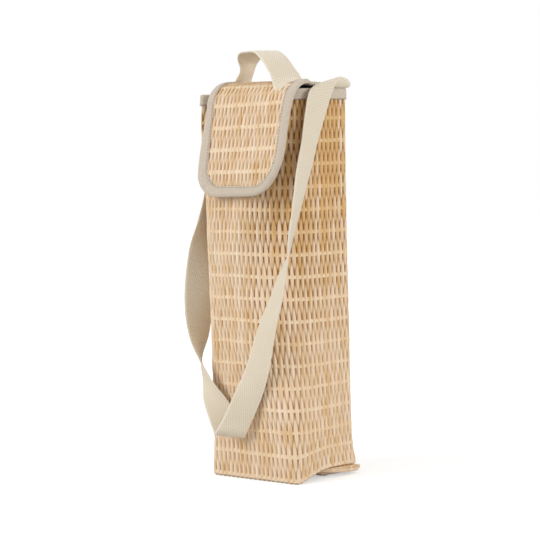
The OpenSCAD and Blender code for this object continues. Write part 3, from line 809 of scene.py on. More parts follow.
# foam and lining behind the cloth, each one ring up the wall
def wallPly(name, depth, thick, material, node, steps=60):
    # on a thinned copy of the wall's grid: some of its rows and every other column
    back, front = [wallGrid(side, wrap=False, inset=depth)[:, :-1] for side in (0, 1)]
    grid = np.concatenate([back, front], axis=1)
    pick = np.unique(np.linspace(0, len(grid) - 1, steps).astype(int))
    grid = grid[pick][:, ::2]
    grid[..., 2] = np.minimum(grid[..., 2], wallFit["height"] - wallFit["plyTopGap"])
    settled(plySolid(name, grid, -thick, 0.0, material, loop=True), [node], "bag")


wallPly("wallFoam", plies["cloth"] + 0.15 * mm, plies["foam"] - 0.3 * mm, foam, "wall_foam")
wallPly("wallLining", plies["cloth"] + plies["foam"], plies["lining"], lining, "wall_lining")

# the base: cloth underneath, foam and lining on it; heights and thicknesses of these two
baseFit = {"inset": 5.5 * mm, "steps": (46, 34), "plyGap": 0.9 * mm, "clothHeight": 0.75 * mm,
           "foam": (2.4 * mm, 1.6 * mm), "lining": (4.1 * mm, 0.5 * mm)}


def baseGrid(inset, height, facingDown=False):
    x = np.linspace(-1, 1, baseFit["steps"][0]) * (wallFit["halfWidth"] - inset)
    y = np.linspace(-1, 1, baseFit["steps"][1]) * (wallFit["halfDepth"] - inset)
    gx, gy = np.meshgrid(-x if facingDown else x, y)
    return np.stack([gx, gy, height + baseLift(gx, gy)], -1)


clothPiece("baseCloth", guideObject("baseGuide", baseGrid(baseFit["inset"], baseFit["clothHeight"], True)), {
    "Strips": 38, "Steps": 34, "Rows": 2 * (wallFit["halfDepth"] - baseFit["inset"]) / weftPitch, "First Row": 0.4,
    "Bands": 4, "Band Steps": 40, "Crown": 0.2 * mm, "Length": 74 * mm, "Seed": 5}, ["base_panel"], "bag")
for name, word, material in (("baseFoam", "foam", foam), ("baseLining", "lining", lining)):
    low, thick = baseFit[word]
    grid = baseGrid(wallDepth + baseFit["plyGap"], low)
    settled(plySolid(name, grid, 0.0, thick, material), ["base_" + word], "bag")

# the two folded corners under the base: a lens of cloth, its reeds lengthwise, that comes to a tip at the back
earFit = {"start": -9 * mm, "end": 45.0 * mm, "width": 30 * mm, "tipWidth": 0.35, "widens": 0.6, "bulge": 2.2 * mm,
          "drawnIn": 6 * mm, "floor": 0.5 * mm, "floorFades": 0.35, "under": 56 * mm, "roofGap": 0.4 * mm,
          "thinnest": 0.3 * mm, "pleat": 0.7 * mm, "pleatAt": 0.52, "pleatWidth": 0.035, "pleatOver": (0.25, 0.5),
          "nose": 0.34, "turnFrom": 0.36, "turnTo": 0.64, "rows": 30, "columns": 40,
          # height of the outer fold's lower edge, front to back, in mm
          "edge": [[-9, 8.0], [0, 6.4], [16, 4.0], [32, 2.5], [41, 2.4], [45, 4.6]]}


def earGrid(side):
    fit, (turnFrom, turnTo) = earFit, (earFit["turnFrom"], earFit["turnTo"])
    heights = np.array(fit["edge"]) * mm
    a = np.linspace(0, 1, fit["columns"])
    across = np.where(a < turnFrom, a / turnFrom, np.where(a > turnTo, (1 - a) / turnFrom, 1.0))
    turn = np.clip((a - turnFrom) / (turnTo - turnFrom), 0, 1) * math.pi
    rows = []
    for share in np.linspace(0, 1, fit["rows"]):
        y = fit["start"] + (fit["end"] - fit["start"]) * share
        edge = wallFit["halfWidth"] * (0.99 + 0.02 * share) + fit["bulge"] * math.sin(math.pi * min(1, share * 1.05))
        edge = edge - fit["drawnIn"] * (1 - share) ** 2
        narrow = fit["width"] * (fit["tipWidth"] + (1 - fit["tipWidth"]) * smoothStep(share, 0, fit["widens"]))
        roof = float(baseLift(np.array(fit["under"]), np.array(y))) - fit["roofGap"]
        low = min(float(np.interp(y, heights[:, 0], heights[:, 1])), roof - fit["thinnest"])
        floor = fit["floor"] + max(0.0, low - fit["floor"]) * (1 - smoothStep(share, 0.0, fit["floorFades"]))
        pleat = -fit["pleat"] * np.exp(-((a - fit["pleatAt"]) / fit["pleatWidth"]) ** 2)
        pleat = pleat * smoothStep(share, *fit["pleatOver"])
        x = edge - narrow * (1 - across) + np.sin(turn) * (roof - low) * fit["nose"] + pleat
        z = low + (roof - low) * (1 - np.cos(turn)) / 2 - (low - floor) * (1 - smoothStep(a, 0.14, turnFrom))
        rows.append(np.column_stack([x * side, np.full_like(x, y), z]))
    return np.array(rows)


for side, word, seed in ((1, "Right", 21), (-1, "Left", 22)):
    grid = earGrid(side)
    if gridNormals(grid)[15, 16, 0] * side < 0:
        grid = grid[:, ::-1]
    # the folds get less painted shade in their reeds' hollows than the wall
    clothPiece("baseFold" + word, guideObject("earGuide" + word, grid), {
        "Strips": 28, "Steps": 24, "Rows": 2.3, "First Row": 0.25, "Bands": 3, "Band Steps": 34, "Length": 50 * mm,
        "Crown": 0.3 * mm, "Backing Depth": 0.9 * mm, "Backing": 0.7 * mm, "Sink": 0.25 * mm, "Edge": 0.4 * mm,
        "Wide": 0.58, "Narrow": 0.42, "Shade": 0.25, "Seed": seed}, ["base_fold_" + word.lower()], "bag")
print("base done")

# tape folded over the rim; its seam runs just above the lower edge
rimFit = {"tape": 10 * mm, "thick": 0.7 * mm, "proud": 0.55 * mm, "rise": 0.9 * mm, "pucker": 0.16 * mm,
          "inside": 0.25 * mm, "columns": (60, 150), "levels": 6, "seamShare": 0.14, "seamLift": 0.12 * mm}


def rimLoops():
    # stations round the rim; points up the outside, over the top, down the inside and back under the tape
    fit, top = rimFit, wallFit["height"]
    shares = np.linspace(0, 1, fit["levels"])[:, None]
    rings = []
    for z in top - fit["tape"] * (1 - shares[:, 0]):
        back, front = [evenOutline(line, count) for line, count in zip(wallOutline(z / top), fit["columns"])]
        rings.append(np.concatenate([back[:-1], front[:-1]]))
    rings = np.array(rings)
    t = unitRows(np.roll(rings, -1, axis=1) - np.roll(rings, 1, axis=1))
    out = np.stack([t[..., 1], -t[..., 0]], -1)
    i = np.arange(rings.shape[1])
    wave = fit["pucker"] * (np.sin(i * 1.7) * np.sin(i * 0.61 + 1) + 0.5 * np.sin(i * 3.1 + shares * 4))
    z = np.broadcast_to(top - fit["tape"] * (1 - shares), rings.shape[:2])
    outer = np.dstack([rings + out * (fit["proud"] + fit["thick"] + wave * (0.4 + shares))[..., None], z])
    inner = np.dstack([rings - out * (wallDepth + fit["inside"] + fit["thick"]), z])[::-1]
    places = np.array([0.06, 0.2, 0.4, 0.6, 0.8, 0.94])[:, None, None]
    crown = outer[-1] + (inner[0] - outer[-1]) * places
    crown[..., 2] = top + fit["rise"] * (1 - (2 * places[..., 0] - 1) ** 4)
    chain = np.concatenate([outer, crown, inner])
    across = np.broadcast_to(np.column_stack([out[-1], np.zeros(len(i))]), outer.shape)
    inward = np.concatenate([-across, np.broadcast_to([0, 0, -1.0], crown.shape), across])
    return np.concatenate([chain, (chain + inward * fit["thick"])[::-1]]).transpose(1, 0, 2), len(chain)


loops, chainCount = rimLoops()
settled(sweptSolid("rimBinding", loops[::-1], tape, closed=True), ["rim_binding"], "bag")
outwardShift = unitRows(loops[:, 1] - loops[:, chainCount - 2])
line = loops[:, 0] + (loops[:, 1] - loops[:, 0]) * rimFit["seamShare"] + outwardShift * rimFit["seamLift"]
stitchRun("rimStitches", [np.concatenate([line, line[:1]])], "bag")
print("rim done")

# The flap: the path of its underside from the back rim over the top and down the front, then its outline
flapFit = {
    "x": 2 * mm, "drift": 2.6 * mm, "start": (42.925 * mm, 379.8 * mm), "thick": 3.0 * mm, "steps": 110,
    "top": 56 * mm, "climb": 6.0, "shoulder": 28.27 * mm,      # lengths along the path and slopes in degrees
    "upper": 62 * mm, "upperLean": 13.6, "lower": 31.8 * mm, "lowerLean": 5.5, "ease": 17 * mm,
    # small forms, each with the stretch of the path over which it comes or goes
    "cup": 1.6 * mm, "cupOver": (62 * mm, 110 * mm), "dip": 0.9 * mm, "dipAt": 34 * mm, "dipReach": 16 * mm,
    "wave": 0.5 * mm, "waveOver": (70 * mm, 100 * mm), "tilt": 1.6 * mm, "tiltOver": (10 * mm, 40 * mm),
    "tiltEnds": (75 * mm, 100 * mm), "driftOver": (12 * mm, 75 * mm),
    "backHalf": 47.6 * mm, "half": 58 * mm, "widen": (0.74, 0.98), "corners": 50 * mm, "outlineStep": 2.0 * mm,
    "leftTrim": 4.4 * mm, "trimOver": (36 * mm, 58 * mm), "lessTrim": 0.22, "lessOver": (100 * mm, 135 * mm),
    "leftCorner": (24 * mm, 22 * mm), "rightCorner": (42 * mm, 47 * mm), "clothHalf": 58.5 * mm,
    "clothInset": 2.5 * mm, "columns": 80, "plySteps": (26, 70, 34),
    "tape": 9.4 * mm, "leftSpread": 0.34, "spreadOver": (85 * mm, 150 * mm), "spreadAcross": (25 * mm, 50 * mm),
    "bendShare": (0.24, -0.16), "bendsFrom": 120 * mm, "slim": 0.06,
    "seamFrom": 9 * mm, "seamInset": 1.4 * mm, "seamLift": 1.0 * mm}      # the seam starts clear of the rim's tape
flapLength = sum(flapFit[part] for part in ("top", "shoulder", "upper", "lower"))


def smoothTurn(s, low, high):
    # mostly even bend with soft ends
    return 0.55 * np.clip((s - low) / (high - low), 0, 1) + 0.45 * smoothStep(s, low, high)


def flapPath():
    fit = flapFit
    s = np.linspace(0, flapLength + 12 * mm, 800)
    drop = smoothTurn(s, fit["top"] - 5 * mm, fit["top"] + fit["shoulder"] + 5 * mm)
    ease = smoothTurn(s, flapLength - fit["lower"], flapLength - fit["lower"] + fit["ease"])
    angle = np.radians(fit["climb"] - (90 - fit["upperLean"] + fit["climb"]) * drop
                       - (fit["upperLean"] - fit["lowerLean"]) * ease)
    y, z = [np.concatenate([[0], np.cumsum((part[1:] + part[:-1]) / 2 * (s[1] - s[0]))])
            for part in (np.cos(angle), np.sin(angle))]
    return s, fit["start"][0] - y, fit["start"][1] + z, angle


flapS, flapY, flapZ, flapAngle = flapPath()


def onFlap(s, x, height):
    # points on the flap: length along from the hinge, place across, height over the underside
    fit = flapFit
    s, x, height = np.broadcast_arrays(np.asarray(s, float), np.asarray(x, float), np.asarray(height, float))
    angle = np.interp(s, flapS, flapAngle)
    side = np.abs(x) / fit["half"]
    cup = fit["cup"] * side ** 3 * smoothStep(s, *fit["cupOver"])
    dip = -fit["dip"] * np.exp(-((s - fit["dipAt"]) / fit["dipReach"]) ** 2) * (1 - side ** 2)
    wave = fit["wave"] * np.sin(x * 62 + s * 30) * np.sin(s * 58 + 1.0) * smoothStep(s, *fit["waveOver"])
    tilted = smoothStep(s, *fit["tiltOver"]) * (1 - smoothStep(s, *fit["tiltEnds"]))
    h = height + cup + wave + dip - fit["tilt"] * np.clip(x / fit["half"], -1, 1) * tilted
    middle = fit["x"] + fit["drift"] * smoothStep(s, *fit["driftOver"])
    y, z = np.interp(s, flapS, flapY), np.interp(s, flapS, flapZ)
    return np.stack([middle + x, y + h * np.sin(angle), z + h * np.cos(angle)], -1)


def flapLimit(s, side, inset=0.0):
    # place across of one edge; the two lower corners have their own rounding, across and along
    fit = flapFit
    low, high = fit["widen"]
    half = fit["backHalf"] + (fit["half"] - fit["backHalf"]) * np.clip((s / fit["top"] - low) / (high - low), 0, 1)
    across, along = [reach - inset for reach in fit["rightCorner" if side > 0 else "leftCorner"]]
    past = np.clip((s - (flapLength - inset - along)) / along, 0, 1)
    if side < 0:
        less = 1 - fit["lessTrim"] * smoothStep(s, *fit["lessOver"])
        half = half - fit["leftTrim"] * smoothStep(s, *fit["trimOver"]) * less
    return side * (half - inset - across * (1 - np.sqrt(np.maximum(1 - past * past, 0))))


def flapOutline():
    # places (s, x) round the edge, from the left back corner to the right one
    corners = flapFit["corners"]
    bend = flapLength - corners * (1 - np.sin(np.linspace(0, math.pi / 2, 60)[1:]))
    s = np.concatenate([np.linspace(0.4 * mm, flapLength - corners, 60), bend])
    left, right = [np.column_stack([s, flapLimit(s, side)]) for side in (-1, 1)]
    rough = np.concatenate([left, right[::-1]])
    return evenOutline(rough, int(lengthsAlong(rough, 0)[-1] / flapFit["outlineStep"]))


flapOuter = flapOutline()


def flapEdgeDistance(s, x):
    near = nearest(np.column_stack([s.ravel(), x.ravel()]), flapOuter).reshape(s.shape)
    left, right = flapLimit(s, -1), flapLimit(s, 1)
    within = (x > left) & (x < right) & (s < flapLength)
    return np.where(within, np.where(s < 6 * mm, np.minimum(x - left, right - x), near), -near)


fold = ("flap_top", "flap_front", (0, -0.0155, 0.3885), (0, -0.0375, 0.3655))
clothX = np.linspace(-1, 1, flapFit["columns"]) * flapFit["clothHalf"]
clothS, clothX = np.meshgrid(np.linspace(flapLength - 1 * mm, 0.0, flapFit["steps"]), clothX, indexing="ij")
flapInside = (flapEdgeDistance(clothS, clothX) - flapFit["clothInset"]) / mm
clothPiece("flapCloth", guideObject("flapGuide", onFlap(clothS, clothX, flapFit["thick"]), flapInside), {
    "Strips": 46, "Steps": 76, "Rows": (flapLength - 1 * mm) / weftPitch, "First Row": -21.6 * mm / weftPitch,
    "Bands": 9, "Band Steps": 48, "Length": flapLength, "Seed": 14},
    ["flap_top_panel", "flap_front_panel"], between=fold)


def flapPly(name, low, high, inset, material, word):
    rounded, straight, columns = flapFit["plySteps"]
    bend = flapLength - inset - flapFit["corners"] * (1 - np.sin(np.linspace(math.pi / 2, 0, rounded)))
    grid = []
    for s in np.concatenate([bend[:-1], np.linspace(bend[-1], 0.6 * mm, straight)]):
        left, right = [float(flapLimit(s, side, inset)) for side in (-1, 1)]
        grid.append(onFlap(s, np.linspace(left, right, columns), 0.0))
    ply = plySolid(name, np.array(grid), low, high, material)
    settled(ply, ["flap_top_" + word, "flap_front_" + word], between=fold)


flapPly("flapFoam", 0.45 * mm, 1.55 * mm, 1.0 * mm, foam, "foam")
flapPly("flapLining", 0.0, 0.4 * mm, 0.7 * mm, lining, "lining")


# tape round the flap's edge
def flapEdge():
    # stations round the edge: s, x, outward direction (s, x), how far round a corner
    out = outward2d(flapOuter)
    bend = np.abs(2 * out[:, 0] * out[:, 1]) * (flapOuter[:, 0] > flapFit["bendsFrom"])
    return np.column_stack([flapOuter, out, bend])


def tapeSpread(s, x, bend):
    # the tape reaches further in at the lower left
    fit = flapFit
    if x > 0:
        return 1 - fit["slim"] + fit["bendShare"][1] * bend
    lower = smoothStep(s, *fit["spreadOver"]) * smoothStep(-x, *fit["spreadAcross"])
    return 1 + fit["bendShare"][0] * bend + fit["leftSpread"] * lower


def flapBindingLoops(stations):
    # section: distance out from the edge (w is the tape's width) and height, in mm, over the underside
    w, top = flapFit["tape"] / mm, flapFit["thick"] / mm
    section = [
        (-w, top + 0.1), (0.3 - w, top + 0.80), (-w * 0.75, top + 0.95), (-w * 0.45, top + 1.0),
        (-w * 0.18, top + 0.85), (0.3, top + 0.2), (1.0, top - 0.8), (1.05, 0.8), (0.4, -0.3), (-0.8, -0.7),
        (-w * 0.3, -0.8), (-w * 0.7, -0.8), (0.3 - w, -0.75), (-w, -0.1), (-w * 0.8, -0.05), (-1.2, -0.05),
        (0.25, 0.7), (0.25, top - 0.9), (-1.2, top + 0.12), (-w * 0.8, top + 0.12)]
    loops = []
    for i, (s, x, outS, outX, bend) in enumerate(stations):
        loop = []
        for o, h in section:
            reach = min(1.0, max(0.0, -o / w))
            o = o * (tapeSpread(s, x, bend) if o < 0 else 1.0) * mm
            pucker = bend * reach * (0.55 if x < 0 else 0.3) * math.sin(i * 1.9 + reach * 2.0)
            ripple = 0.14 * math.sin(i * 0.83 + 2 * reach) * math.sin(i * 0.37 + 1)
            rise = (pucker + ripple) * (1 if h > top * 0.6 else -0.4)
            loop.append(onFlap(s + o * outS, x + o * outX, (h + rise) * mm))
        loops.append(loop)
    return np.array(loops)


stations = flapEdge()
settled(sweptSolid("flapBinding", flapBindingLoops(stations), tape),
        ["flap_top_binding", "flap_front_binding"], between=fold)
seam = []
for s, x, outS, outX, bend in stations[stations[:, 0] > flapFit["seamFrom"]]:
    reach = (flapFit["tape"] - flapFit["seamInset"]) * tapeSpread(s, x, bend)
    seam.append(onFlap(s - reach * outS, x - reach * outX, flapFit["thick"] + flapFit["seamLift"]))
stitchRun("flapStitches", [seam], between=fold)
print("flap done")

# tape that joins the flap to the back wall, over the rim; levels: height from the rim and place from the centre, in mm
hingeFit = {"half": 46.5 * mm, "thick": 0.6 * mm, "onWall": (-10, -7, -4, -1, 1.5), "proud": 1.5 * mm,
            "bridge": ((3.6, 44.6), (5.0, 43.6)), "onFlap": (1.5, 4, 7, 9.5)}


def hingeGrid():
    fit, top = hingeFit, wallFit["height"]
    x = np.linspace(-1, 1, 40) * fit["half"]
    wallY = np.array([0.996, wallFit["levels"][-1][2]]) * wallFit["halfDepth"]
    levels = [(z, np.interp(top + z * mm, [0.94 * top, top], wallY) + fit["proud"]) for z in fit["onWall"]]
    levels += [(z, y * mm) for z, y in fit["bridge"]]
    rows = [np.column_stack([flapFit["x"] + x, np.full_like(x, y), np.full_like(x, top + z * mm)]) for z, y in levels]
    rows += [onFlap(s * mm, x, flapFit["thick"] + 0.35 * mm) for s in fit["onFlap"]]
    return np.array(rows)[:, ::-1]


settled(plySolid("flapHingeTape", hingeGrid(), 0.0, hingeFit["thick"], tape), (),
        between=("bag", "flap_top", (0, 0.0442, 0.3775), (0, 0.0432, 0.3835)))


# webbing: a rounded flat section swept along a path, with its width direction and half width at each place
def webLoops(centres, widths, thick, halfWidths):
    across = unitRows(widths)
    normals = unitRows(np.cross(unitRows(np.gradient(centres, axis=0)), across))
    over = list(zip(webFit["across"], webFit["rise"]))
    chain = over + [(c, -e) for c, e in over[-2:0:-1]]
    halfWidths = np.broadcast_to(halfWidths, len(centres))
    return np.array([[p + w * (c * reach) + n * (e * thick) for c, e in chain]
                     for p, w, n, reach in zip(centres, across, normals, halfWidths)])


def webPiece(name, loops, nodes, body=None, between=None):
    # UV across and along in metres, on both faces alike
    columns = webFit["across"] + webFit["across"][-2:0:-1]
    u, v = np.meshgrid((np.array(columns) + 1) * webFit["width"] / 2, lengthsAlong(loops.mean(axis=1), 0))
    settled(sweptSolid(name, loops, webbing, uv=np.stack([u, v], -1)), nodes, body, between)


# The carrying handle: foot on the flap, up, over and down to the other foot
# rows: x, y, z in mm, direction of the width from +Y in degrees, how far it lies flat on the flap (0 to 1)
handleFit = {
    "step": 1.6 * mm, "inFromEdge": 1.5 * mm, "underTape": (8 * mm, 13 * mm), "clothRise": 0.7 * mm,
    "lies": 0.95 * mm, "tucked": 0.35 * mm, "pressed": 0.2,      # pressed: what is left of its thickness under the tape
    "rows": [
        [-47.0, 0.8, 390.4, 12, 1], [-44.0, 2.0, 390.6, 13, 1], [-41.6, 3.6, 392.0, 15, 0.5],
        [-39.9, 4.6, 394.6, 16, 0.05], [-37.9, 5.6, 398.8, 18, 0], [-37.2, 6.6, 404.0, 15, 0],
        [-37.4, 7.6, 409.3, 5, 0], [-33.8, 6.0, 413.4, -7, 0], [-28.9, 3.4, 416.7, -13, 0],
        [-21.5, 0.4, 418.4, -16, 0], [-12.0, -3.4, 418.2, -17, 0], [-2.0, -7.2, 418.0, -17, 0],
        [6.5, -11.0, 417.0, -17, 0], [13.8, -14.0, 414.5, -17, 0], [19.5, -16.2, 411.6, -18, 0],
        [24.3, -17.6, 408.2, -19, 0], [28.8, -18.2, 403.8, -19, 0], [32.5, -17.8, 398.8, -20, 0],
        [35.6, -17.0, 394.4, -23, 0.05], [38.8, -17.2, 391.4, -27, 0.5], [42.6, -18.6, 389.5, -32, 1],
        [47.0, -20.8, 388.0, -36, 1], [51.5, -23.4, 387.0, -38, 1]]}


def alongTop(y):
    # length along the flap's top part at a place from front to back
    return np.interp(-y, -flapY[flapS < 0.1], flapS[flapS < 0.1])


def handleLoops():
    fit = handleFit
    rows = [[*(v * mm for v in row[:3]), math.radians(row[3]), row[4]] for row in fit["rows"]]
    rows = evenPath(rows, fit["step"])
    centres, turn, flat = rows[:, :3], rows[:, 3], smoothStep(rows[:, 4], 0, 1)[:, None]
    widths = np.column_stack([-np.sin(turn), np.cos(turn), np.zeros(len(turn))])
    loops = webLoops(centres, widths, webFit["footThick"], webFit["width"] / 2)
    s = alongTop(loops[..., 1])
    middle = flapFit["x"] + flapFit["drift"]
    inset = fit["inFromEdge"]
    x = np.clip(loops[..., 0], flapLimit(s, -1) + middle + inset, flapLimit(s, 1) + middle - inset)
    loops[..., 0] = loops[..., 0] * (1 - flat) + x * flat
    clear = smoothStep(flapEdgeDistance(s, x - middle), *fit["underTape"])     # 0 where the foot lies under the tape
    surface = onFlap(s, loops[..., 0] - flapFit["x"], flapFit["thick"] + fit["clothRise"])[..., 2]
    thickness = (loops[..., 2] - centres[:, None, 2]) * (fit["pressed"] + (1 - fit["pressed"]) * clear)
    lying = surface + fit["lies"] * clear - fit["tucked"] * (1 - clear) + thickness
    loops[..., 2] = loops[..., 2] * (1 - flat) + lying * flat
    return loops


webPiece("carryHandle", handleLoops(), ["carry_handle", "handle_end_left", "handle_end_right"],
         between=("flap_top", "handle", (0, -0.006, 0.3905), (0, -0.006, 0.4035)))

# The shoulder strap: from the right rim down the side, across the front, folded at the bottom and up the left side.
# rows of six: its front edge and its back edge; rows of five: its middle, direction of the width from +X in degrees,
# tilt. The ends are sewn inside the rim, with stitches crossed over a square.
strapFit = {
    "step": 2.0 * mm, "endStep": 1.5 * mm, "stitchLift": 0.9 * mm,
    "square": [(-12, 349), (12, 349), (12, 365), (-12, 365), (-12, 349), (12, 365), (12, 349), (-12, 365)],
    "rows": [
        [61.5, -2.0, 381.6, 62.8, 34.8, 389.6], [63.8, -8.4, 379.5, 65.0, 28.6, 387.2],
        [65.0, -12.3, 377.8, 66.0, 24.1, 385.0], [65.8, -16.0, 374.6, 66.4, 21.0, 381.2],
        [66.2, -18.2, 370.8, 66.6, 17.9, 376.5], [66.3, -19.7, 366.7, 66.6, 14.9, 371.7],
        [66.3, -22.6, 356.7, 66.5, 9.1, 360.2], [66.3, -26.0, 343.6, 66.4, 1.2, 344.0],
        [66.2, -29.0, 329.3, 66.3, -6.1, 328.8],
        [66.0, -29.0, 296.0, 107, 0], [67.2, -42.2, 260.0, 119, 0], [69.0, -53.0, 234.0, 126, 0],
        [69.2, -56.5, 221.0, 133, 0], [61.0, -57.2, 202.2, 147, 0], [50.6, -55.6, 180.6, 157, 0],
        [39.0, -55.7, 156.9, 167, 0], [29.6, -55.3, 133.5, 176, 0], [20.4, -56.5, 107.6, 187, 0],
        [9.6, -59.3, 84.0, 204, 0], [-4.0, -62.2, 59.0, 213, 0.05], [-10.4, -63.9, 48.4, 217, 0.12],
        [-14.2, -62.2, 45.0, 216, 0.14], [-19.4, -59.4, 48.2, 212, 0.12], [-28.6, -56.8, 61.6, 206, 0.05],
        [-38.6, -54.4, 75.6, 193, 0], [-52.0, -51.0, 94.0, 158, 0], [-65.6, -47.2, 115.0, 135, 0],
        [-70.4, -43.8, 142.0, 92, 0], [-72.4, -40.0, 182.0, 61, 0], [-72.4, -33.4, 222.0, 70, 0],
        [-71.0, -27.6, 257.0, 109, 0], [-70.4, -23.4, 283.0, 124, 0], [-69.4, -18.8, 302.0, 112, 0],
        [-67.0, -5.2, 329.6, 98, 0], [-66.4, 3.4, 343.6, 94, 0], [-66.0, 9.8, 359.0, 91, 0],
        [-65.6, 14.0, 370.0, 90, 0], [-65.0, 16.6, 380.2, 90, 0], [-63.5, 17.6, 385.8, 90, 0],
        [-61.0, 18.1, 388.0, 90, 0], [-58.1, 18.3, 387.6, 90, 0]],
    "ends": {
        "Right": [
            [51.0, 6.4, 345.5, 51.0, 36.4, 345.5], [51.8, 6.4, 360.0, 52.2, 36.4, 363.0],
            [52.6, 6.0, 370.0, 53.4, 36.6, 375.0], [53.6, 5.2, 376.4, 55.8, 38.6, 379.2],
            [54.6, 3.6, 379.6, 59.6, 43.2, 379.4], [56.0, 2.0, 381.0, 63.4, 45.2, 379.6],
            [57.4, 0.8, 382.2, 65.6, 44.6, 382.6], [59.8, -1.0, 382.6, 65.0, 39.8, 388.0],
            [61.5, -2.0, 381.8, 62.9, 34.8, 389.7]],
        "Left": [
            [-51.0, 17.9, 345.5, 90, 0], [-51.6, 17.9, 356, 90, 0], [-52.6, 17.9, 368, 90, 0],
            [-53.6, 18.0, 377.5, 90, 0], [-54.4, 18.2, 383.6, 90, 0], [-56.2, 18.3, 386.9, 90, 0],
            [-58.6, 18.3, 387.7, 90, 0]]}}


def strapPath(rows, step):
    # middles, unit width directions and half widths along a strap
    table = []
    for row in rows:
        middle = np.array(row[:3]) * mm
        if len(row) == 6:
            middle, half = (middle + np.array(row[3:]) * mm) / 2, (np.array(row[3:]) * mm - middle) / 2
        else:
            turn = math.radians(row[3])
            half = unitRows(np.array([math.cos(turn), math.sin(turn), row[4]])) * webFit["width"] / 2
        length = float(np.linalg.norm(half))
        table.append([*middle, *(half / length), length])
    path = evenPath(table, step)
    return path[:, :3], unitRows(path[:, 3:6]), path[:, 6]


middles, widths, halves = strapPath(strapFit["rows"], strapFit["step"])
webPiece("shoulderStrap", webLoops(middles, widths, webFit["thick"], halves), ["shoulder_strap"],
         between=("bag", "strap", (0, 0.01785, 0.382), (0, 0.01785, 0.362)))
for word, rows in strapFit["ends"].items():
    path, widths, halves = strapPath(rows, strapFit["endStep"])
    loops = webLoops(path, widths, webFit["endThick"], halves)
    webPiece("strapEnd" + word, loops, ["strap_end_" + word.lower()], "bag")
    lift = strapFit["stitchLift"] * (-1 if word == "Right" else 1)
    runs = []
    for (a, b), (c, d) in zip(strapFit["square"], strapFit["square"][1:]):
        t = np.linspace(0, 1, 12)[:, None]
        y, z = (a + (c - a) * t) * mm + path[0][1], (b + (d - b) * t) * mm
        runs.append(np.column_stack([np.interp(z, path[:, 2], path[:, 0]) + lift, y, z]))
    stitchRun("strapEndStitches" + word, runs, "bag", threadPale, 2.6 * mm, 1.9 * mm, 0.22 * mm)
print("webbing done")

# the hook-and-loop closure: lengths along the flap and half width, heights on the wall and places across, in mm
closureFit = {"hook": (138.6, 114.6), "hookHalf": 28, "loop": (291.2, 315.4), "loopX": (3, 38), "points": (12, 22)}


def patchOnFlap():
    fit = closureFit
    x = np.linspace(-fit["hookHalf"], fit["hookHalf"], fit["points"][1]) * mm
    return np.array([onFlap(s, x, 0.0) for s in np.linspace(*fit["hook"], fit["points"][0]) * mm])


def patchOnWall():
    rows, count = [], closureFit["points"][1]
    for z in np.linspace(*closureFit["loop"], closureFit["points"][0]) * mm:
        front = wallOutline(z / wallFit["height"])[1]
        along = lengthsAlong(front, 0)
        facing = front[:, 1] < 0
        low, high = [x * mm for x in closureFit["loopX"]]
        places = np.interp(low, front[facing, 0], along[facing]) + np.linspace(0, high - low, count) * 1.04
        rows.append(np.column_stack([valuesAt(places, along, front), np.full(count, z)]))
    return np.array(rows)


def edgeOf(grid, lift):
    g = grid + gridNormals(grid) * lift
    return np.concatenate([g[1, 1:-1], g[1:-1, -2], g[-2, 1:-1][::-1], g[1:-1, 1][::-1]])


patches = (("hook", patchOnFlap(), -1.25 * mm, -0.05 * mm, -1.4 * mm, hookTape, "flap_front"),
           ("loop", patchOnWall(), 0.25 * mm, 1.4 * mm, 1.5 * mm, loopTape, "bag"))
for word, grid, low, high, lift, material, body in patches:
    patch = plySolid("closure" + word.capitalize() + "Patch", grid, low, high, material)
    settled(patch, ["closure_" + word + "_patch"], body)
for word, grid, low, high, lift, material, body in patches:
    stitchRun(word + "PatchStitches", [edgeOf(grid, lift)], body, thread, 3.0 * mm, 2.1 * mm, 0.2 * mm)
print("closure done")

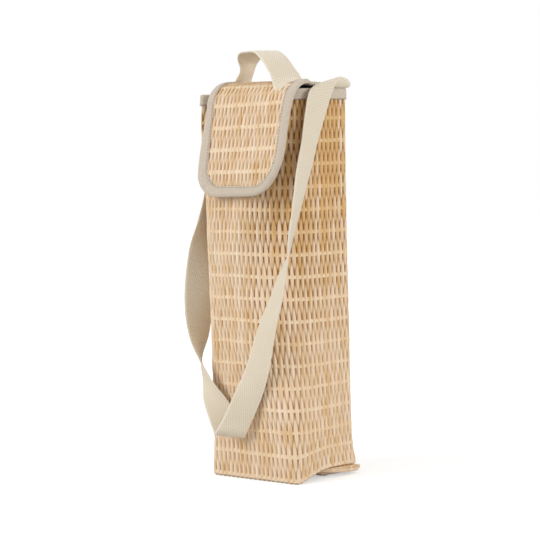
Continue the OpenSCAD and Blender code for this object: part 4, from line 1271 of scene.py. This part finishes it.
# floor, light and background
stageFit = {
    "floor": 6.0, "floorColour": 0.70, "floorGlow": 0.50, "world": 0.66, "white": (1, 1, 1, 1),
    # lamps: azimuth from the front, elevation, strength, apparent size in degrees
    "lamps": {"key": (-30, 25, 1.46, 28), "side": (100, 12, 1.22, 36)}}


def makeStage(fit):
    half = fit["floor"]
    material, maker = newMaterial("paleFloor")
    corners = [(-half, -half, 0), (half, -half, 0), (half, half, 0), (-half, half, 0)]
    newObject("floor", corners, [(0, 1, 2, 3)], material=material)
    shader = maker.tree.nodes["Principled BSDF"]
    shader.inputs["Base Color"].default_value = (*[fit["floorColour"]] * 3, 1)
    shader.inputs["Roughness"].default_value = 0.9
    shader.inputs["Specular IOR Level"].default_value = 0.0
    seen = Field(maker, maker.out("ShaderNodeLightPath")) * fit["floorGlow"]       # only what the camera sees
    glow = maker.out("ShaderNodeEmission", {"Color": fit["white"], "Strength": seen})
    both = maker.out("ShaderNodeAddShader", {0: shader.outputs[0], 1: glow})
    maker.link(both, maker.tree.nodes["Material Output"].inputs["Surface"])

    world = bpy.data.worlds.new("studio")
    bpy.context.scene.world = world
    world.use_nodes = True
    maker = Maker(world.node_tree)
    rays = maker.add("ShaderNodeLightPath").outputs
    seen = maker.calc("MAXIMUM", rays["Is Camera Ray"],
                      maker.calc("MAXIMUM", rays["Is Glossy Ray"], rays["Is Transmission Ray"]))
    back = world.node_tree.nodes["Background"]
    maker.link(seen * (1.0 - fit["world"]) + fit["world"], back.inputs["Strength"])
    back.inputs["Color"].default_value = fit["white"]

    for name, (azimuth, elevation, strength, size) in fit["lamps"].items():
        data = bpy.data.lights.new(name, "SUN")
        data.energy = strength
        data.angle = math.radians(size)
        lamp = linked(name, data)
        a, e = math.radians(azimuth), math.radians(elevation)
        lamp.location = (math.sin(a) * math.cos(e) * 2, -math.cos(a) * math.cos(e) * 2, math.sin(e) * 2)
        lamp.rotation_euler = lamp.location.to_track_quat("Z", "Y").to_euler()


makeStage(stageFit)
print("floor and lights done")
bpy.context.scene.view_settings.view_transform = "Standard"
